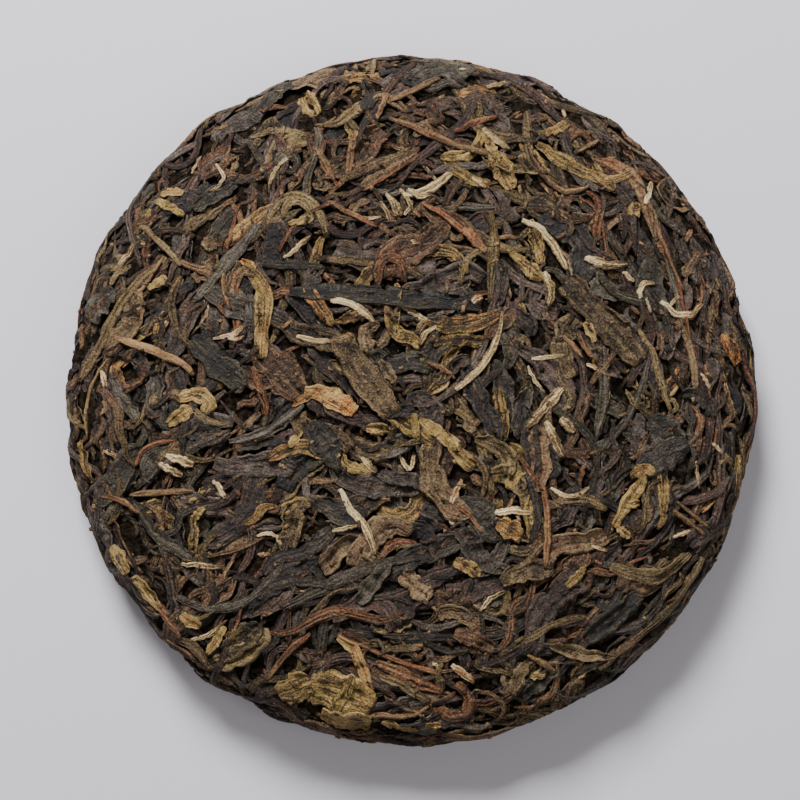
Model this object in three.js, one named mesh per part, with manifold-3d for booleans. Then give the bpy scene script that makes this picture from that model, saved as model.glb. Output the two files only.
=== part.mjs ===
// A small cake of pressed raw pu-erh tea, lying on its back with the rounded face up.
// Millimetres. +Z points out of the rounded face and +Y towards the top of that face.
// The cake is one solid: a round core with the largest rolled leaves, flat leaves and
// stems of the tea fused on all over, and the dimple of the pressing cloth in its back.

import * as THREE from 'three';
import { mergeVertices } from 'three/addons/utils/BufferGeometryUtils.js';
import Module from 'manifold-3d';

const wasm = await Module();
wasm.setup();

// Driving dimensions of the pressed cake
const CAKE_RADIUS = 52.2;
const CAKE_THICKNESS = 17;
const RIM_HEIGHT = 7.2;
const BACK_FLAT_RADIUS = 39;
const DIMPLE_RADIUS = 15.5;
const DIMPLE_DEPTH = 6.4;

// How full the curves of its outline are. The first two are shares of the rim's radius and
// the last two of the dimple's; the drop and the rounding are heights.
const FACE_FULLNESS = 0.66;
const BACK_FULLNESS = 0.93;
const DIMPLE_MOUTH = 0.8;
const DIMPLE_FLOOR = 0.62;
const SHOULDER_DROP = 2.4;
const UNDER_RIM_ROUNDING = 4.6;
const OUTLINE_POINTS = 200;

// The core: how far it lies below the pressed surface, how finely it is divided, and the
// height, the waves a millimetre and the start of its slow swell
const CORE_DEPTH = 1;
const CORE_SEGMENTS = 26;
const CORE_DIVISIONS = 4;
const CORE_SWELL = 0.25;
const SWELL_WAVES = { x: 0.13, y: 0.11 };
const SWELL_START = { x: 1.1, y: -0.6 };

// How the leaves lie: how deep their middles and ends are sunk, how far the ends narrow and
// how suddenly, how high a piece rises for its width, and how far apart its rings are
const LEAF_SINK = 0.55;
const END_SINK = 1.4;
const END_NARROWING = 0.55;
const END_SHARPNESS = 3;
const LEAST_RISE = 0.55;
const RISE_FOR_WIDTH = 0.12;
const STATION_SPACING = 6.2;
const FEWEST_STEPS = 3;
const LAID_TWIST = 0.3;

// What covers the core: how many pieces the fill has, the range of their sizes and how much
// they vary, and how far they turn along the rim
const FILL_PIECES = 130;
const FILL_STRIDE = 61;
const LONGEST = 27;
const SHORTEST = 14;
const WIDEST = 6.4;
const NARROWEST = 3;
const SIZE_FALL = 1.4;
const LENGTH_VARIATION = [0.85, 1.1];
const WIDTH_VARIATION = [0.4, 1];
const FLAT_FROM_WIDTH = 3.4;
const RIM_ZONE = 40;
const RIM_ALIGNMENT = 0.72;
const FILL_BEND = 0.7;
const FILL_TWIST = 0.9;
const GOLDEN_ANGLE = Math.PI * (3 - Math.sqrt(5));

// The repeatable stream of numbers
const SEED = 20;
const STREAM_FACTOR = 1664525;
const STREAM_STEP = 1013904223;
const STREAM_RANGE = 2 ** 32;

const WELD_DISTANCE = 1e-4;
const TRIM_DEPTH = 10;
const LEAF_COLOUR = 0x4b3e33;

// Cross-sections as [across, up], in half widths and rises of the piece. The outer corners
// are sunk in the core.
const ROLLED = [[-1, -1.2], [-0.1, 1], [1, -1.2]];
const FLAT = [[-1, -1.2], [-0.55, 0.9], [0.6, 0.75], [1, -1.2]];

// The pieces that show most on the face: their width, their section and the points [x, y]
// of the face that each one runs through.
const FACE_PIECES = [
  { name: 'long black leaf', width: 3.4, section: FLAT,
    through: [[-18.3, 16.9], [-6, 16.5], [10.6, 14.6]] },
  { name: 'tan bent leaf', width: 3.2, section: FLAT,
    through: [[-25.9, 21.4], [-22.3, 15.5], [-22.6, 7]] },
  { name: 'long cream bud', width: 1.9, section: ROLLED,
    through: [[14.4, 14.1], [13.8, 9.9], [11.6, 5.2], [7.1, 1.7]] },
  { name: 'curved cream bud', width: 1.8, section: ROLLED,
    through: [[17.3, 28], [19.8, 26.8], [22.6, 23.6], [24.1, 20.2]] },
  { name: 'forked olive leaf', width: 2.8, section: FLAT,
    through: [[19.7, 39.5], [24.5, 36.3], [30.6, 33.4], [34.1, 35.4]] },
  { name: 'broad ribbed leaf', width: 5, section: FLAT,
    through: [[-13.5, 9.4], [-6.5, 4.6], [0.5, -0.6]] },
  { name: 'brown stem', width: 1.7, section: ROLLED,
    through: [[-3.3, 43.6], [4.2, 40.9], [11.9, 37.8]] },
  { name: 'red stem', width: 1.7, section: ROLLED,
    through: [[1.7, 30.6], [6.5, 27], [11.5, 23.6]] },
  { name: 'small crumpled leaf', width: 5, section: FLAT,
    through: [[-20.9, -43], [-15.2, -46.3]] },
  { name: 'large crumpled leaf', width: 5.6, section: FLAT,
    through: [[-14.4, -42.4], [-6.2, -47.8]] },
  { name: 'tan stem', width: 1.8, section: ROLLED,
    through: [[-45.7, 9.3], [-40, 7.8], [-34.3, 5.9]] },
  { name: 'wavy rim leaf', width: 3, section: FLAT,
    through: [[31.1, -25.7], [37.8, -27.7], [43.7, -24]] },
  { name: 'dark rim leaf', width: 4, section: FLAT,
    through: [[-33.1, -41.2], [-28, -38.2], [-23.3, -34.5]] },
  { name: 'long grey leaf', width: 2.4, section: ROLLED,
    through: [[-33.2, 15.5], [-28.6, 21.6], [-23.3, 27.2]] },
  { name: 'ribbed brown leaf', width: 2.8, section: FLAT,
    through: [[-7.7, 33], [-3.4, 35.9], [1, 38.3]] },
  { name: 'lower brown strand', width: 2.4, section: ROLLED,
    through: [[13.6, -39.2], [20.9, -35.1], [27.1, -33.3]] },
  { name: 'pale bent bud', width: 1.8, section: ROLLED,
    through: [[-10.9, -13.8], [-8.9, -16.7], [-5.4, -23.1]] },
  { name: 'upright stem', width: 1.7, section: ROLLED,
    through: [[21.1, -15], [20.7, -20.5], [21.1, -26]] },
];

// The broad leaf under the back that the cake rests on, and the shares of it with a ring
const REST_LEAF = { from: [-8, -29], to: [8, -29], width: 8, rise: 1.4 };
const REST_SHARES = [0, 0.25, 0.5, 0.75, 1];

const random = seededRandom(SEED);

// A repeatable stream of numbers from 0 to 1.
function seededRandom(seed) {
  let state = seed >>> 0;
  return () => {
    state = (Math.imul(state, STREAM_FACTOR) + STREAM_STEP) >>> 0;
    return state / STREAM_RANGE;
  };
}

function between([low, high]) {
  return THREE.MathUtils.lerp(low, high, random());
}

function eitherWay(reach) {
  return between([-reach, reach]);
}

// The cake's half outline as [radius, height], from the middle of the face round the rim
// to the middle of the back, set in by a depth.
function halfOutline(depth) {
  const rim = CAKE_RADIUS - depth;
  const top = CAKE_THICKNESS - depth;
  const hollow = DIMPLE_DEPTH + depth;
  const mouth = DIMPLE_MOUTH * DIMPLE_RADIUS;
  const floor = DIMPLE_FLOOR * DIMPLE_RADIUS;
  const outline = new THREE.Path();
  outline.moveTo(0, top);
  outline.bezierCurveTo(FACE_FULLNESS * rim, top, rim, top - SHOULDER_DROP, rim, RIM_HEIGHT);
  outline.bezierCurveTo(
    rim, RIM_HEIGHT - UNDER_RIM_ROUNDING, BACK_FULLNESS * rim, depth, BACK_FLAT_RADIUS, depth,
  );
  outline.lineTo(DIMPLE_RADIUS + depth, depth);
  outline.bezierCurveTo(mouth, depth, floor, hollow, 0, hollow);
  return outline;
}

const surfaceOutline = halfOutline(0).getSpacedPoints(OUTLINE_POINTS);

// The nearest place on the pressed surface to a point, with the way out of the cake there.
function onSurface(point) {
  const radius = Math.hypot(point.x, point.y);
  let best = 1;
  let bestGap = Infinity;
  for (let i = 1; i < surfaceOutline.length - 1; i++) {
    const gap = Math.hypot(surfaceOutline[i].x - radius, surfaceOutline[i].y - point.z);
    if (gap < bestGap) {
      bestGap = gap;
      best = i;
    }
  }
  const before = surfaceOutline[best - 1];
  const along = surfaceOutline[best + 1].clone().sub(before);
  const reach = new THREE.Vector2(radius, point.z).sub(before).dot(along) / along.lengthSq();
  const spot = before.clone().addScaledVector(along, THREE.MathUtils.clamp(reach, 0, 1));
  along.normalize();
  const outward = new THREE.Vector3(point.x, point.y, 0).normalize();
  const place = outward.clone().multiplyScalar(spot.x).setZ(spot.y);
  const normal = outward.clone().multiplyScalar(-along.y).setZ(along.x);
  return { place, normal };
}

// The height of the face over a point, for pieces that are laid by hand.
function onFace([x, y]) {
  return onSurface(new THREE.Vector3(x, y, CAKE_THICKNESS)).place;
}

// How many steps a strand of a length is divided into.
function stepsOf(length) {
  return Math.max(FEWEST_STEPS, Math.round(length / STATION_SPACING));
}

// The places of a strand that starts at a point of the surface and creeps over it.
function creep(start, heading, length, bend) {
  const steps = stepsOf(length);
  const { place, normal } = onSurface(start);
  const ahead = new THREE.Vector3(-place.y, place.x, 0);
  ahead.normalize().applyAxisAngle(normal, heading);
  const places = [place];
  for (let i = 0; i < steps; i++) {
    const next = onSurface(places[i].clone().addScaledVector(ahead, length / steps));
    places.push(next.place);
    ahead.applyAxisAngle(next.normal, bend / steps);
    ahead.addScaledVector(next.normal, -ahead.dot(next.normal)).normalize();
  }
  return places;
}

// The places of a strand that is laid by hand, evenly spaced along a smooth curve.
function laidPlaces(through) {
  const curve = new THREE.CatmullRomCurve3(through.map(onFace));
  const points = curve.getSpacedPoints(stepsOf(curve.getLength()));
  return points.map((point) => onSurface(point).place);
}

// A closed strand along places of the surface: rings of the section, which narrow and dive
// at both ends, with a fan over each end.
function strand(name, places, { width, rise, section, twist }) {
  const points = [];
  const last = places.length - 1;
  places.forEach((place, i) => {
    const share = i / last;
    const end = Math.abs(2 * share - 1) ** END_SHARPNESS;
    const { normal } = onSurface(place);
    const ahead = places[Math.min(i + 1, last)].clone().sub(places[Math.max(i - 1, 0)]).normalize();
    const across = ahead.clone().cross(normal).normalize();
    const centre = place.clone().addScaledVector(normal, -LEAF_SINK - end * (END_SINK - LEAF_SINK));
    const half = (width / 2) * (1 - END_NARROWING * end);
    const turn = twist * (share - 0.5);
    for (const [u, v] of section) {
      const side = half * (u * Math.cos(turn) - v * Math.sin(turn));
      const up = rise * (v * Math.cos(turn) + u * Math.sin(turn));
      points.push(centre.clone().addScaledVector(across, side).addScaledVector(normal, up));
    }
  });
  const geometry = closedTube(points, section.length);
  geometry.name = name;
  return geometry;
}

// A tube through rings of points, closed by a flat fan at each end, facing out.
function closedTube(points, sides) {
  const rings = points.length / sides;
  const faces = [];
  for (let ring = 0; ring < rings - 1; ring++) {
    for (let side = 0; side < sides; side++) {
      const a = ring * sides + side;
      const b = ring * sides + ((side + 1) % sides);
      faces.push(a, b, a + sides, b, b + sides, a + sides);
    }
  }
  const far = (rings - 1) * sides;
  for (let side = 1; side < sides - 1; side++) {
    faces.push(0, side + 1, side);
    faces.push(far, far + side, far + side + 1);
  }
  const geometry = new THREE.BufferGeometry().setFromPoints(points);
  geometry.setIndex(faces);
  return geometry;
}

// The round core, with a slow uneven swell like that of a hand-filled cloth.
function coreGeometry() {
  const outline = halfOutline(CORE_DEPTH).getPoints(CORE_DIVISIONS);
  const geometry = new THREE.LatheGeometry(outline.reverse(), CORE_SEGMENTS);
  const position = geometry.attributes.position;
  for (let i = 0; i < position.count; i++) {
    const x = position.getX(i);
    const y = position.getZ(i);
    const z = position.getY(i);
    const wave = Math.sin(SWELL_WAVES.x * x + SWELL_START.x) * Math.cos(SWELL_WAVES.y * y + SWELL_START.y);
    const lift = z > RIM_HEIGHT ? CORE_SWELL * wave : 0;
    position.setXYZ(i, x, -y, z + lift);
  }
  geometry.name = 'core';
  return geometry;
}

// A closed geometry as a solid that can be joined and cut.
function solidOf(geometry) {
  const bare = geometry.index ? geometry.clone() : geometry;
  bare.deleteAttribute('normal');
  bare.deleteAttribute('uv');
  const merged = mergeVertices(bare, WELD_DISTANCE);
  const faces = [];
  for (let i = 0; i < merged.index.count; i += 3) {
    const [a, b, c] = [merged.index.getX(i), merged.index.getX(i + 1), merged.index.getX(i + 2)];
    if (a !== b && b !== c && c !== a) faces.push(a, b, c);
  }
  const solid = new wasm.Manifold(new wasm.Mesh({
    numProp: 3,
    vertProperties: new Float32Array(merged.attributes.position.array),
    triVerts: new Uint32Array(faces),
  }));
  if (solid.volume() < 0) throw new Error(`${geometry.name} is inside out`);
  return solid;
}

// The biggest shell of a joined solid: pockets that the leaves seal are filled, and
// scraps that hang on nothing are dropped.
function biggestShell(solid) {
  const mesh = solid.getMesh();
  const owner = Array.from({ length: mesh.numVert }, (_, i) => i);
  const find = (i) => {
    while (owner[i] !== i) {
      owner[i] = owner[owner[i]];
      i = owner[i];
    }
    return i;
  };
  for (let i = 0; i < mesh.triVerts.length; i += 3) {
    owner[find(mesh.triVerts[i])] = find(mesh.triVerts[i + 1]);
    owner[find(mesh.triVerts[i + 1])] = find(mesh.triVerts[i + 2]);
  }
  const sizes = new Map();
  for (const vertex of mesh.triVerts) sizes.set(find(vertex), (sizes.get(find(vertex)) ?? 0) + 1);
  const biggest = [...sizes].sort((a, b) => b[1] - a[1])[0][0];
  const geometry = new THREE.BufferGeometry();
  geometry.setAttribute('position', new THREE.BufferAttribute(mesh.vertProperties, mesh.numProp));
  geometry.setIndex([...mesh.triVerts].filter((vertex) => find(vertex) === biggest));
  return geometry;
}

// How high a piece of a width stands over its middle line.
function riseOf(width) {
  return LEAST_RISE + RISE_FOR_WIDTH * width;
}

// The pieces laid by hand on the face.
function facePieces() {
  return FACE_PIECES.map(({ name, through, width, section }) => {
    return strand(name, laidPlaces(through), { width, rise: riseOf(width), section, twist: LAID_TWIST });
  });
}

// The flat leaf of the back whose underside is the resting face.
function restLeaf() {
  const [from, to] = [REST_LEAF.from, REST_LEAF.to].map(([x, y]) => new THREE.Vector3(x, y, 0));
  const places = REST_SHARES.map((share) => from.clone().lerp(to, share));
  return strand('resting leaf', places, { ...REST_LEAF, section: FLAT, twist: 0 });
}

// The fill: pieces spread evenly over the whole surface by area, the largest first.
function fillPieces() {
  const areas = [0];
  for (let i = 1; i < surfaceOutline.length; i++) {
    const [a, b] = [surfaceOutline[i - 1], surfaceOutline[i]];
    areas.push(areas[i - 1] + (a.x + b.x) * a.distanceTo(b));
  }
  const pieces = [];
  for (let i = 0; i < FILL_PIECES; i++) {
    const order = (i * FILL_STRIDE) % FILL_PIECES;
    const wanted = ((order + 0.5) / FILL_PIECES) * areas[areas.length - 1];
    const row = surfaceOutline[areas.findIndex((area) => area >= wanted)];
    const around = order * GOLDEN_ANGLE;
    const middle = new THREE.Vector3(row.x * Math.cos(around), row.x * Math.sin(around), row.y);
    const size = (1 - i / FILL_PIECES) ** SIZE_FALL;
    const length = THREE.MathUtils.lerp(SHORTEST, LONGEST, size) * between(LENGTH_VARIATION);
    const width = THREE.MathUtils.lerp(NARROWEST, WIDEST, size * between(WIDTH_VARIATION));
    const nearRim = THREE.MathUtils.smoothstep(row.x, RIM_ZONE, CAKE_RADIUS);
    const heading = (random() - 0.5) * Math.PI * (1 - RIM_ALIGNMENT * nearRim);
    const section = width > FLAT_FROM_WIDTH ? FLAT : ROLLED;
    const half = creep(middle, heading + Math.PI, length / 2, 0);
    const places = creep(half[half.length - 1], heading, length, eitherWay(FILL_BEND));
    const shape = { width, rise: riseOf(width), section, twist: eitherWay(FILL_TWIST) };
    pieces.push(strand(`fill piece ${i}`, places, shape));
  }
  return pieces;
}

// Everything above the surface that the cake lies on.
function trimmedFlat(solid) {
  const below = new THREE.BoxGeometry(4 * CAKE_RADIUS, 4 * CAKE_RADIUS, TRIM_DEPTH);
  below.translate(0, 0, -TRIM_DEPTH / 2);
  return solid.subtract(solidOf(below));
}

function teaCake() {
  let solid = solidOf(coreGeometry());
  for (const piece of [...facePieces(), restLeaf(), ...fillPieces()]) solid = solid.add(solidOf(piece));
  const leaf = new THREE.MeshStandardMaterial({ color: LEAF_COLOUR, roughness: 0.8, metalness: 0 });
  const mesh = new THREE.Mesh(biggestShell(trimmedFlat(solid)), leaf);
  mesh.name = 'tea_cake';
  return mesh;
}

const cake = new THREE.Group();
cake.add(teaCake());

export default cake;
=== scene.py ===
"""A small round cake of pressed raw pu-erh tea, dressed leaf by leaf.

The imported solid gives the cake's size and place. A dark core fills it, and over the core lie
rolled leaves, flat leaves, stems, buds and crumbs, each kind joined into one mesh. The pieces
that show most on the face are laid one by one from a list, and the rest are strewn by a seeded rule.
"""

import logging
import math
from dataclasses import dataclass, field, fields, replace
from enum import Enum

import bpy
import numpy as np
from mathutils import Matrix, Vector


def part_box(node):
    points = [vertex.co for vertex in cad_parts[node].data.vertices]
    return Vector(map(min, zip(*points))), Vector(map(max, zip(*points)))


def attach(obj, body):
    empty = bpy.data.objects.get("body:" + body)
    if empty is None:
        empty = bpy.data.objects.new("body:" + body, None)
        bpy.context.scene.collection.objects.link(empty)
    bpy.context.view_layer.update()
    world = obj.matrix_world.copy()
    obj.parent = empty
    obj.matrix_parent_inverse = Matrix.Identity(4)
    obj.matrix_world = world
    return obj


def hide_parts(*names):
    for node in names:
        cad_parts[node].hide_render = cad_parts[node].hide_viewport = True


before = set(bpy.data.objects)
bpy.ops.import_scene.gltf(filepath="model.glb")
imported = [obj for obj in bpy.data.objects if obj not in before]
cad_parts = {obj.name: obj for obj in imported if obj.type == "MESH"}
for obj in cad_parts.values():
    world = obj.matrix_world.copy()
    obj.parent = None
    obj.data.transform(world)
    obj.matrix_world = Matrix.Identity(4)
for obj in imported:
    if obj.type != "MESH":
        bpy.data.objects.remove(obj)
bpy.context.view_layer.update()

LOG = logging.getLogger("tea_cake")
MM = 0.001
SEED = 1207
GOLDEN_ANGLE = math.pi * (3.0 - math.sqrt(5.0))
NODE = "tea_cake"
BODY = "root"

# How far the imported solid's leaves stand over its smooth outline
RELIEF = 0.3 * MM

# The photograph's frame: where the cake's middle lies in it, and the real size of a pixel
PHOTO_SIDE = 800
PHOTO_MIDDLE = (410.5, 401.0)
PIXEL = 0.152 * MM

Pixel = tuple[float, float]
Pair = tuple[float, float]
Colour = tuple[float, float, float]
Shade = tuple[int, int, int]


class Tea(Enum):
    """The kinds of tea that the cake is pressed from."""

    FINES = "fine_underlayer"
    BROKEN = "broken_leaf_bits"
    DARK_ROLL = "dark_rolled_leaves"
    BROWN_ROLL = "brown_rolled_leaves"
    DARK_LEAF = "dark_flat_leaves"
    BROWN_LEAF = "brown_flat_leaves"
    OLIVE_LEAF = "olive_flat_leaves"
    STEM = "stems"
    BUD = "buds"
    CRUMB = "crumbs"


def linear(red: int, green: int, blue: int) -> Colour:
    """A screen colour as the linear values that shaders take.

    Args:
        red: Red from 0 to 255.
        green: Green from 0 to 255.
        blue: Blue from 0 to 255.

    Returns:
        The three linear values from 0 to 1.
    """
    shares = (red / 255.0, green / 255.0, blue / 255.0)
    return tuple(s / 12.92 if s <= 0.04045 else ((s + 0.055) / 1.055) ** 2.4 for s in shares)


def unit(vectors: np.ndarray) -> np.ndarray:
    """The vectors with their length made one."""
    return vectors / np.maximum(np.linalg.norm(vectors, axis=-1, keepdims=True), 1e-12)


def eased(values: np.ndarray, low: float, high: float) -> np.ndarray:
    """A smooth step from 0 at low to 1 at high."""
    share = np.clip((values - low) / (high - low), 0.0, 1.0)
    return share * share * (3.0 - 2.0 * share)


def bezier(corners: list[Pixel], count: int) -> np.ndarray:
    """Points along a cubic curve.

    Args:
        corners: The start, two handles and the end.
        count: How many points, the start left out.

    Returns:
        The points as an array of count rows.
    """
    t = np.linspace(0.0, 1.0, count + 1)[1:, None]
    a, b, c, d = (np.array(corner) for corner in corners)
    return a * (1 - t) ** 3 + 3 * b * t * (1 - t) ** 2 + 3 * c * t**2 * (1 - t) + d * t**3


def joined(several: list) -> object:
    """Several records of arrays as one, each array joined with its like.

    Args:
        several: Records of one dataclass.

    Returns:
        One record of that dataclass.
    """
    names = [part.name for part in fields(several[0])]
    rows = [np.concatenate([getattr(one, name) for one in several]) for name in names]
    return type(several[0])(*rows)


def evenly(points: np.ndarray, count: int) -> np.ndarray:
    """A polyline with its points spaced evenly.

    Args:
        points: The polyline, one point a row.
        count: How many points to return.

    Returns:
        The new points.
    """
    steps = np.linalg.norm(np.diff(points, axis=0), axis=1)
    reach = np.concatenate([[0.0], np.cumsum(steps)])
    at = np.linspace(0.0, reach[-1], count)
    return np.stack([np.interp(at, reach, column) for column in points.T], axis=1)


@dataclass
class CakeForm:
    """The pressed surface of the cake: a half outline turned about the vertical axis.

    The handles are the places that its curves pull towards, as shares of the radius. Swells are
    the heights of the slow waves, the quick ones and the loose rim's, in millimetres.
    """

    radius: float
    thickness: float
    rim_height: float = 7.2 * MM
    rim_drop: float = 4.6 * MM
    face_fall: float = 2.4 * MM
    face_handle: float = 0.66
    rim_handle: float = 0.93
    back_flat_radius: float = 39.0 * MM
    dimple_radius: float = 15.5 * MM
    dimple_depth: float = 6.4 * MM
    dimple_handles: Pair = (0.8, 0.62)
    lie: float = 0.4 * MM
    swells: tuple[float, float, float] = (0.18, 0.12, 0.22)
    outline: np.ndarray = field(init=False)
    reach: np.ndarray = field(init=False)

    def __post_init__(self) -> None:
        """Keeps the outline of the surface itself, and how far along it each point is."""
        self.outline = evenly(self.half_outline(0.0, 60), 260)
        steps = np.linalg.norm(np.diff(self.outline, axis=0), axis=1)
        self.reach = np.concatenate([[0.0], np.cumsum(steps)])

    def half_outline(self, depth: float, points: int) -> np.ndarray:
        """The half outline as radius and height, from the face's middle to the back's.

        Args:
            depth: How far the outline is set in from the surface.
            points: How many points each of its curves has.

        Returns:
            The outline's points.
        """
        rim, top, under = self.radius - depth, self.thickness - depth, self.lie + depth
        flat_end, pit = self.dimple_radius + depth, self.dimple_depth + depth
        back = self.back_flat_radius
        widest = (rim, self.rim_height)
        side_start, side_end = (share * self.dimple_radius for share in self.dimple_handles)
        face_curve = [(0.0, top), (self.face_handle * rim, top), (rim, top - self.face_fall), widest]
        low = (rim, self.rim_height - self.rim_drop)
        rim_curve = [widest, low, (self.rim_handle * rim, under), (back, under)]
        pit_curve = [(flat_end, under), (side_start, under), (side_end, pit), (0.0, pit)]
        parts = [np.array([[0.0, top]]), bezier(face_curve, points), bezier(rim_curve, points)]
        parts += [np.array([[flat_end, under]]), bezier(pit_curve, points)]
        return np.concatenate(parts)

    def nearest(self, points: np.ndarray) -> tuple[np.ndarray, np.ndarray, np.ndarray]:
        """The places of the surface nearest to some points, and the way out there.

        Args:
            points: Points as rows.

        Returns:
            The places, their outward normals, and how far along the outline they are.
        """
        radii = np.hypot(points[:, 0], points[:, 1])
        flat = np.stack([radii, points[:, 2]], axis=1)
        gaps = ((flat[:, None] - self.outline[None, 1:-1]) ** 2).sum(axis=2)
        best = gaps.argmin(axis=1) + 1
        before = self.outline[best - 1]
        along = self.outline[best + 1] - before
        reach = ((flat - before) * along).sum(axis=1) / (along**2).sum(axis=1)
        reach = np.clip(reach, 0.0, 1.0)
        spot = before + along * reach[:, None]
        run = self.reach[best - 1] + reach * (self.reach[best] - self.reach[best - 1])
        along = unit(along)
        away = points[:, :2] / np.maximum(radii, 1e-9)[:, None]
        places = np.concatenate([away * spot[:, :1], spot[:, 1:]], axis=1)
        normals = np.concatenate([-away * along[:, 1:], along[:, :1]], axis=1)
        return places, normals, run

    def spread(self, count: int, start: float, rng: np.random.Generator) -> np.ndarray:
        """Places spread evenly over the whole surface by area.

        Args:
            count: How many places.
            start: The angle that the spiral of places starts at.
            rng: The source of the small scatter.

        Returns:
            The places as rows.
        """
        radii = self.outline[:, 0]
        steps = np.linalg.norm(np.diff(self.outline, axis=0), axis=1)
        areas = np.concatenate([[0.0], np.cumsum(steps * (radii[1:] + radii[:-1]))])
        wanted = (np.arange(count) + rng.uniform(0.0, 1.0, count)) / count * areas[-1]
        around = start + np.arange(count) * GOLDEN_ANGLE + rng.normal(0.0, 0.2, count)
        radius = np.interp(wanted, areas, radii)
        height = np.interp(wanted, areas, self.outline[:, 1])
        return np.stack([radius * np.cos(around), radius * np.sin(around), height], axis=1)

    def swell(self, places: np.ndarray) -> np.ndarray:
        """How far the uneven surface stands above its round outline.

        Args:
            places: Places of the surface, in any shape that ends in three.

        Returns:
            The height above the outline at each place.
        """
        x, y = places[..., 0] / MM, places[..., 1] / MM
        slow = np.sin(0.17 * x + 0.6) * np.cos(0.15 * y - 0.4)
        quick = np.sin(0.41 * x - 0.23 * y + 1.7) * np.cos(0.37 * y + 0.19 * x)
        loose = eased(np.hypot(x, y), 24.0, 47.0)
        low, high, rim = self.swells
        return (low * slow + (high + rim * loose) * quick) * MM


@dataclass
class PhotoView:
    """The camera that looks down on the face as the photograph does."""

    form: CakeForm
    lens: float = 90.0
    sensor: float = 36.0
    rounds: int = 4
    clear: float = 2 * MM

    @property
    def reach(self) -> float:
        """The distance from the camera to the height of the rim."""
        return PHOTO_SIDE / 2 * PIXEL * self.lens / (self.sensor / 2)

    @property
    def place(self) -> tuple[float, float, float]:
        """Where the camera stands."""
        half = PHOTO_SIDE / 2
        across = (half - PHOTO_MIDDLE[0]) * PIXEL
        up = (PHOTO_MIDDLE[1] - half) * PIXEL
        return across, up, self.form.rim_height + self.reach

    def on_face(self, pixels: np.ndarray) -> np.ndarray:
        """The places of the face that show at pixels of the photograph.

        Args:
            pixels: Pixels as rows of across and down.

        Returns:
            The places as rows.
        """
        x0, y0, height = self.place
        half = PHOTO_SIDE / 2
        z = np.full(len(pixels), self.form.thickness)
        for _ in range(self.rounds):
            scale = PIXEL * (height - z) / self.reach
            x = x0 + (pixels[:, 0] - half) * scale
            y = y0 - (pixels[:, 1] - half) * scale
            places, _, _ = self.form.nearest(np.stack([x, y, z + self.clear], axis=1))
            z = places[:, 2]
        return places

    def build(self) -> bpy.types.Object:
        """Makes the camera."""
        bpy.ops.object.camera_add(location=self.place)
        camera = bpy.context.object
        camera.name = "photo_camera"
        camera.data.lens = self.lens
        camera.data.sensor_width = self.sensor
        camera.data.clip_start = 0.01
        bpy.context.scene.camera = camera
        return camera


@dataclass(frozen=True)
class Drift:
    """The way that the strands run near one place of the face.

    Attributes:
        at: The pixel of the photograph.
        degrees: The way they run, turned left from the photograph's right.
    """

    at: Pixel
    degrees: float


DRIFTS = (
    Drift((160, 190), 38),
    Drift((230, 160), 62),
    Drift((300, 110), 75),
    Drift((400, 90), -28),
    Drift((430, 150), 10),
    Drift((520, 110), -30),
    Drift((600, 150), -35),
    Drift((660, 230), -62),
    Drift((720, 330), -80),
    Drift((730, 430), 82),
    Drift((690, 500), 50),
    Drift((650, 575), 28),
    Drift((560, 640), 32),
    Drift((460, 700), 8),
    Drift((370, 700), -20),
    Drift((280, 660), 48),
    Drift((200, 620), 44),
    Drift((130, 560), -50),
    Drift((100, 450), 85),
    Drift((110, 350), 62),
    Drift((200, 330), 70),
    Drift((250, 450), 20),
    Drift((250, 300), 84),
    Drift((380, 300), -8),
    Drift((370, 380), -38),
    Drift((480, 350), 62),
    Drift((440, 450), -50),
    Drift((560, 320), -50),
    Drift((620, 400), -68),
    Drift((540, 520), 88),
    Drift((450, 560), 15),
    Drift((340, 560), 20),
)


@dataclass
class Flow:
    """The way that strewn pieces run over the cake.

    A pair is where a zone starts and where it is full, as shares of the radius, and for the back
    its height and radius, as shares of the whole.
    """

    view: PhotoView
    reach: float = 7.0 * MM
    rim: Pair = (0.84, 0.99)
    rim_pull: float = 1.4
    scatter: float = 0.5
    calm: float = 0.45
    back: Pair = (0.3, 0.95)

    def headings(self, places: np.ndarray, rng: np.random.Generator) -> np.ndarray:
        """The heading of a piece at each place, turned from the way round the cake.

        Args:
            places: The places as rows.
            rng: The source of each piece's own turn.

        Returns:
            The headings in radians.
        """
        anchors = self.view.on_face(np.array([drift.at for drift in DRIFTS], float))
        turns = np.radians([drift.degrees for drift in DRIFTS])
        gaps = ((places[:, None, :2] - anchors[None, :, :2]) ** 2).sum(axis=2)
        weights = 1.0 / (gaps + self.reach**2) ** 2
        wave = (weights * np.exp(2j * turns)[None]).sum(axis=1)
        around = np.arctan2(places[:, 1], places[:, 0]) + math.pi / 2
        face = np.angle(wave) / 2 - around
        form = self.view.form
        radius = np.hypot(places[:, 0], places[:, 1])
        rim = eased(radius, self.rim[0] * form.radius, self.rim[1] * form.radius)
        back = (places[:, 2] < self.back[0] * form.thickness) & (radius < self.back[1] * form.radius)
        mixed = (1 - rim) * np.exp(2j * face) + self.rim_pull * rim
        own = rng.normal(0.0, self.scatter, len(places))
        headings = np.angle(mixed) / 2 + own * (1 - self.calm * rim)
        return np.where(back, rng.uniform(-math.pi / 2, math.pi / 2, len(places)), headings)


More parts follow.
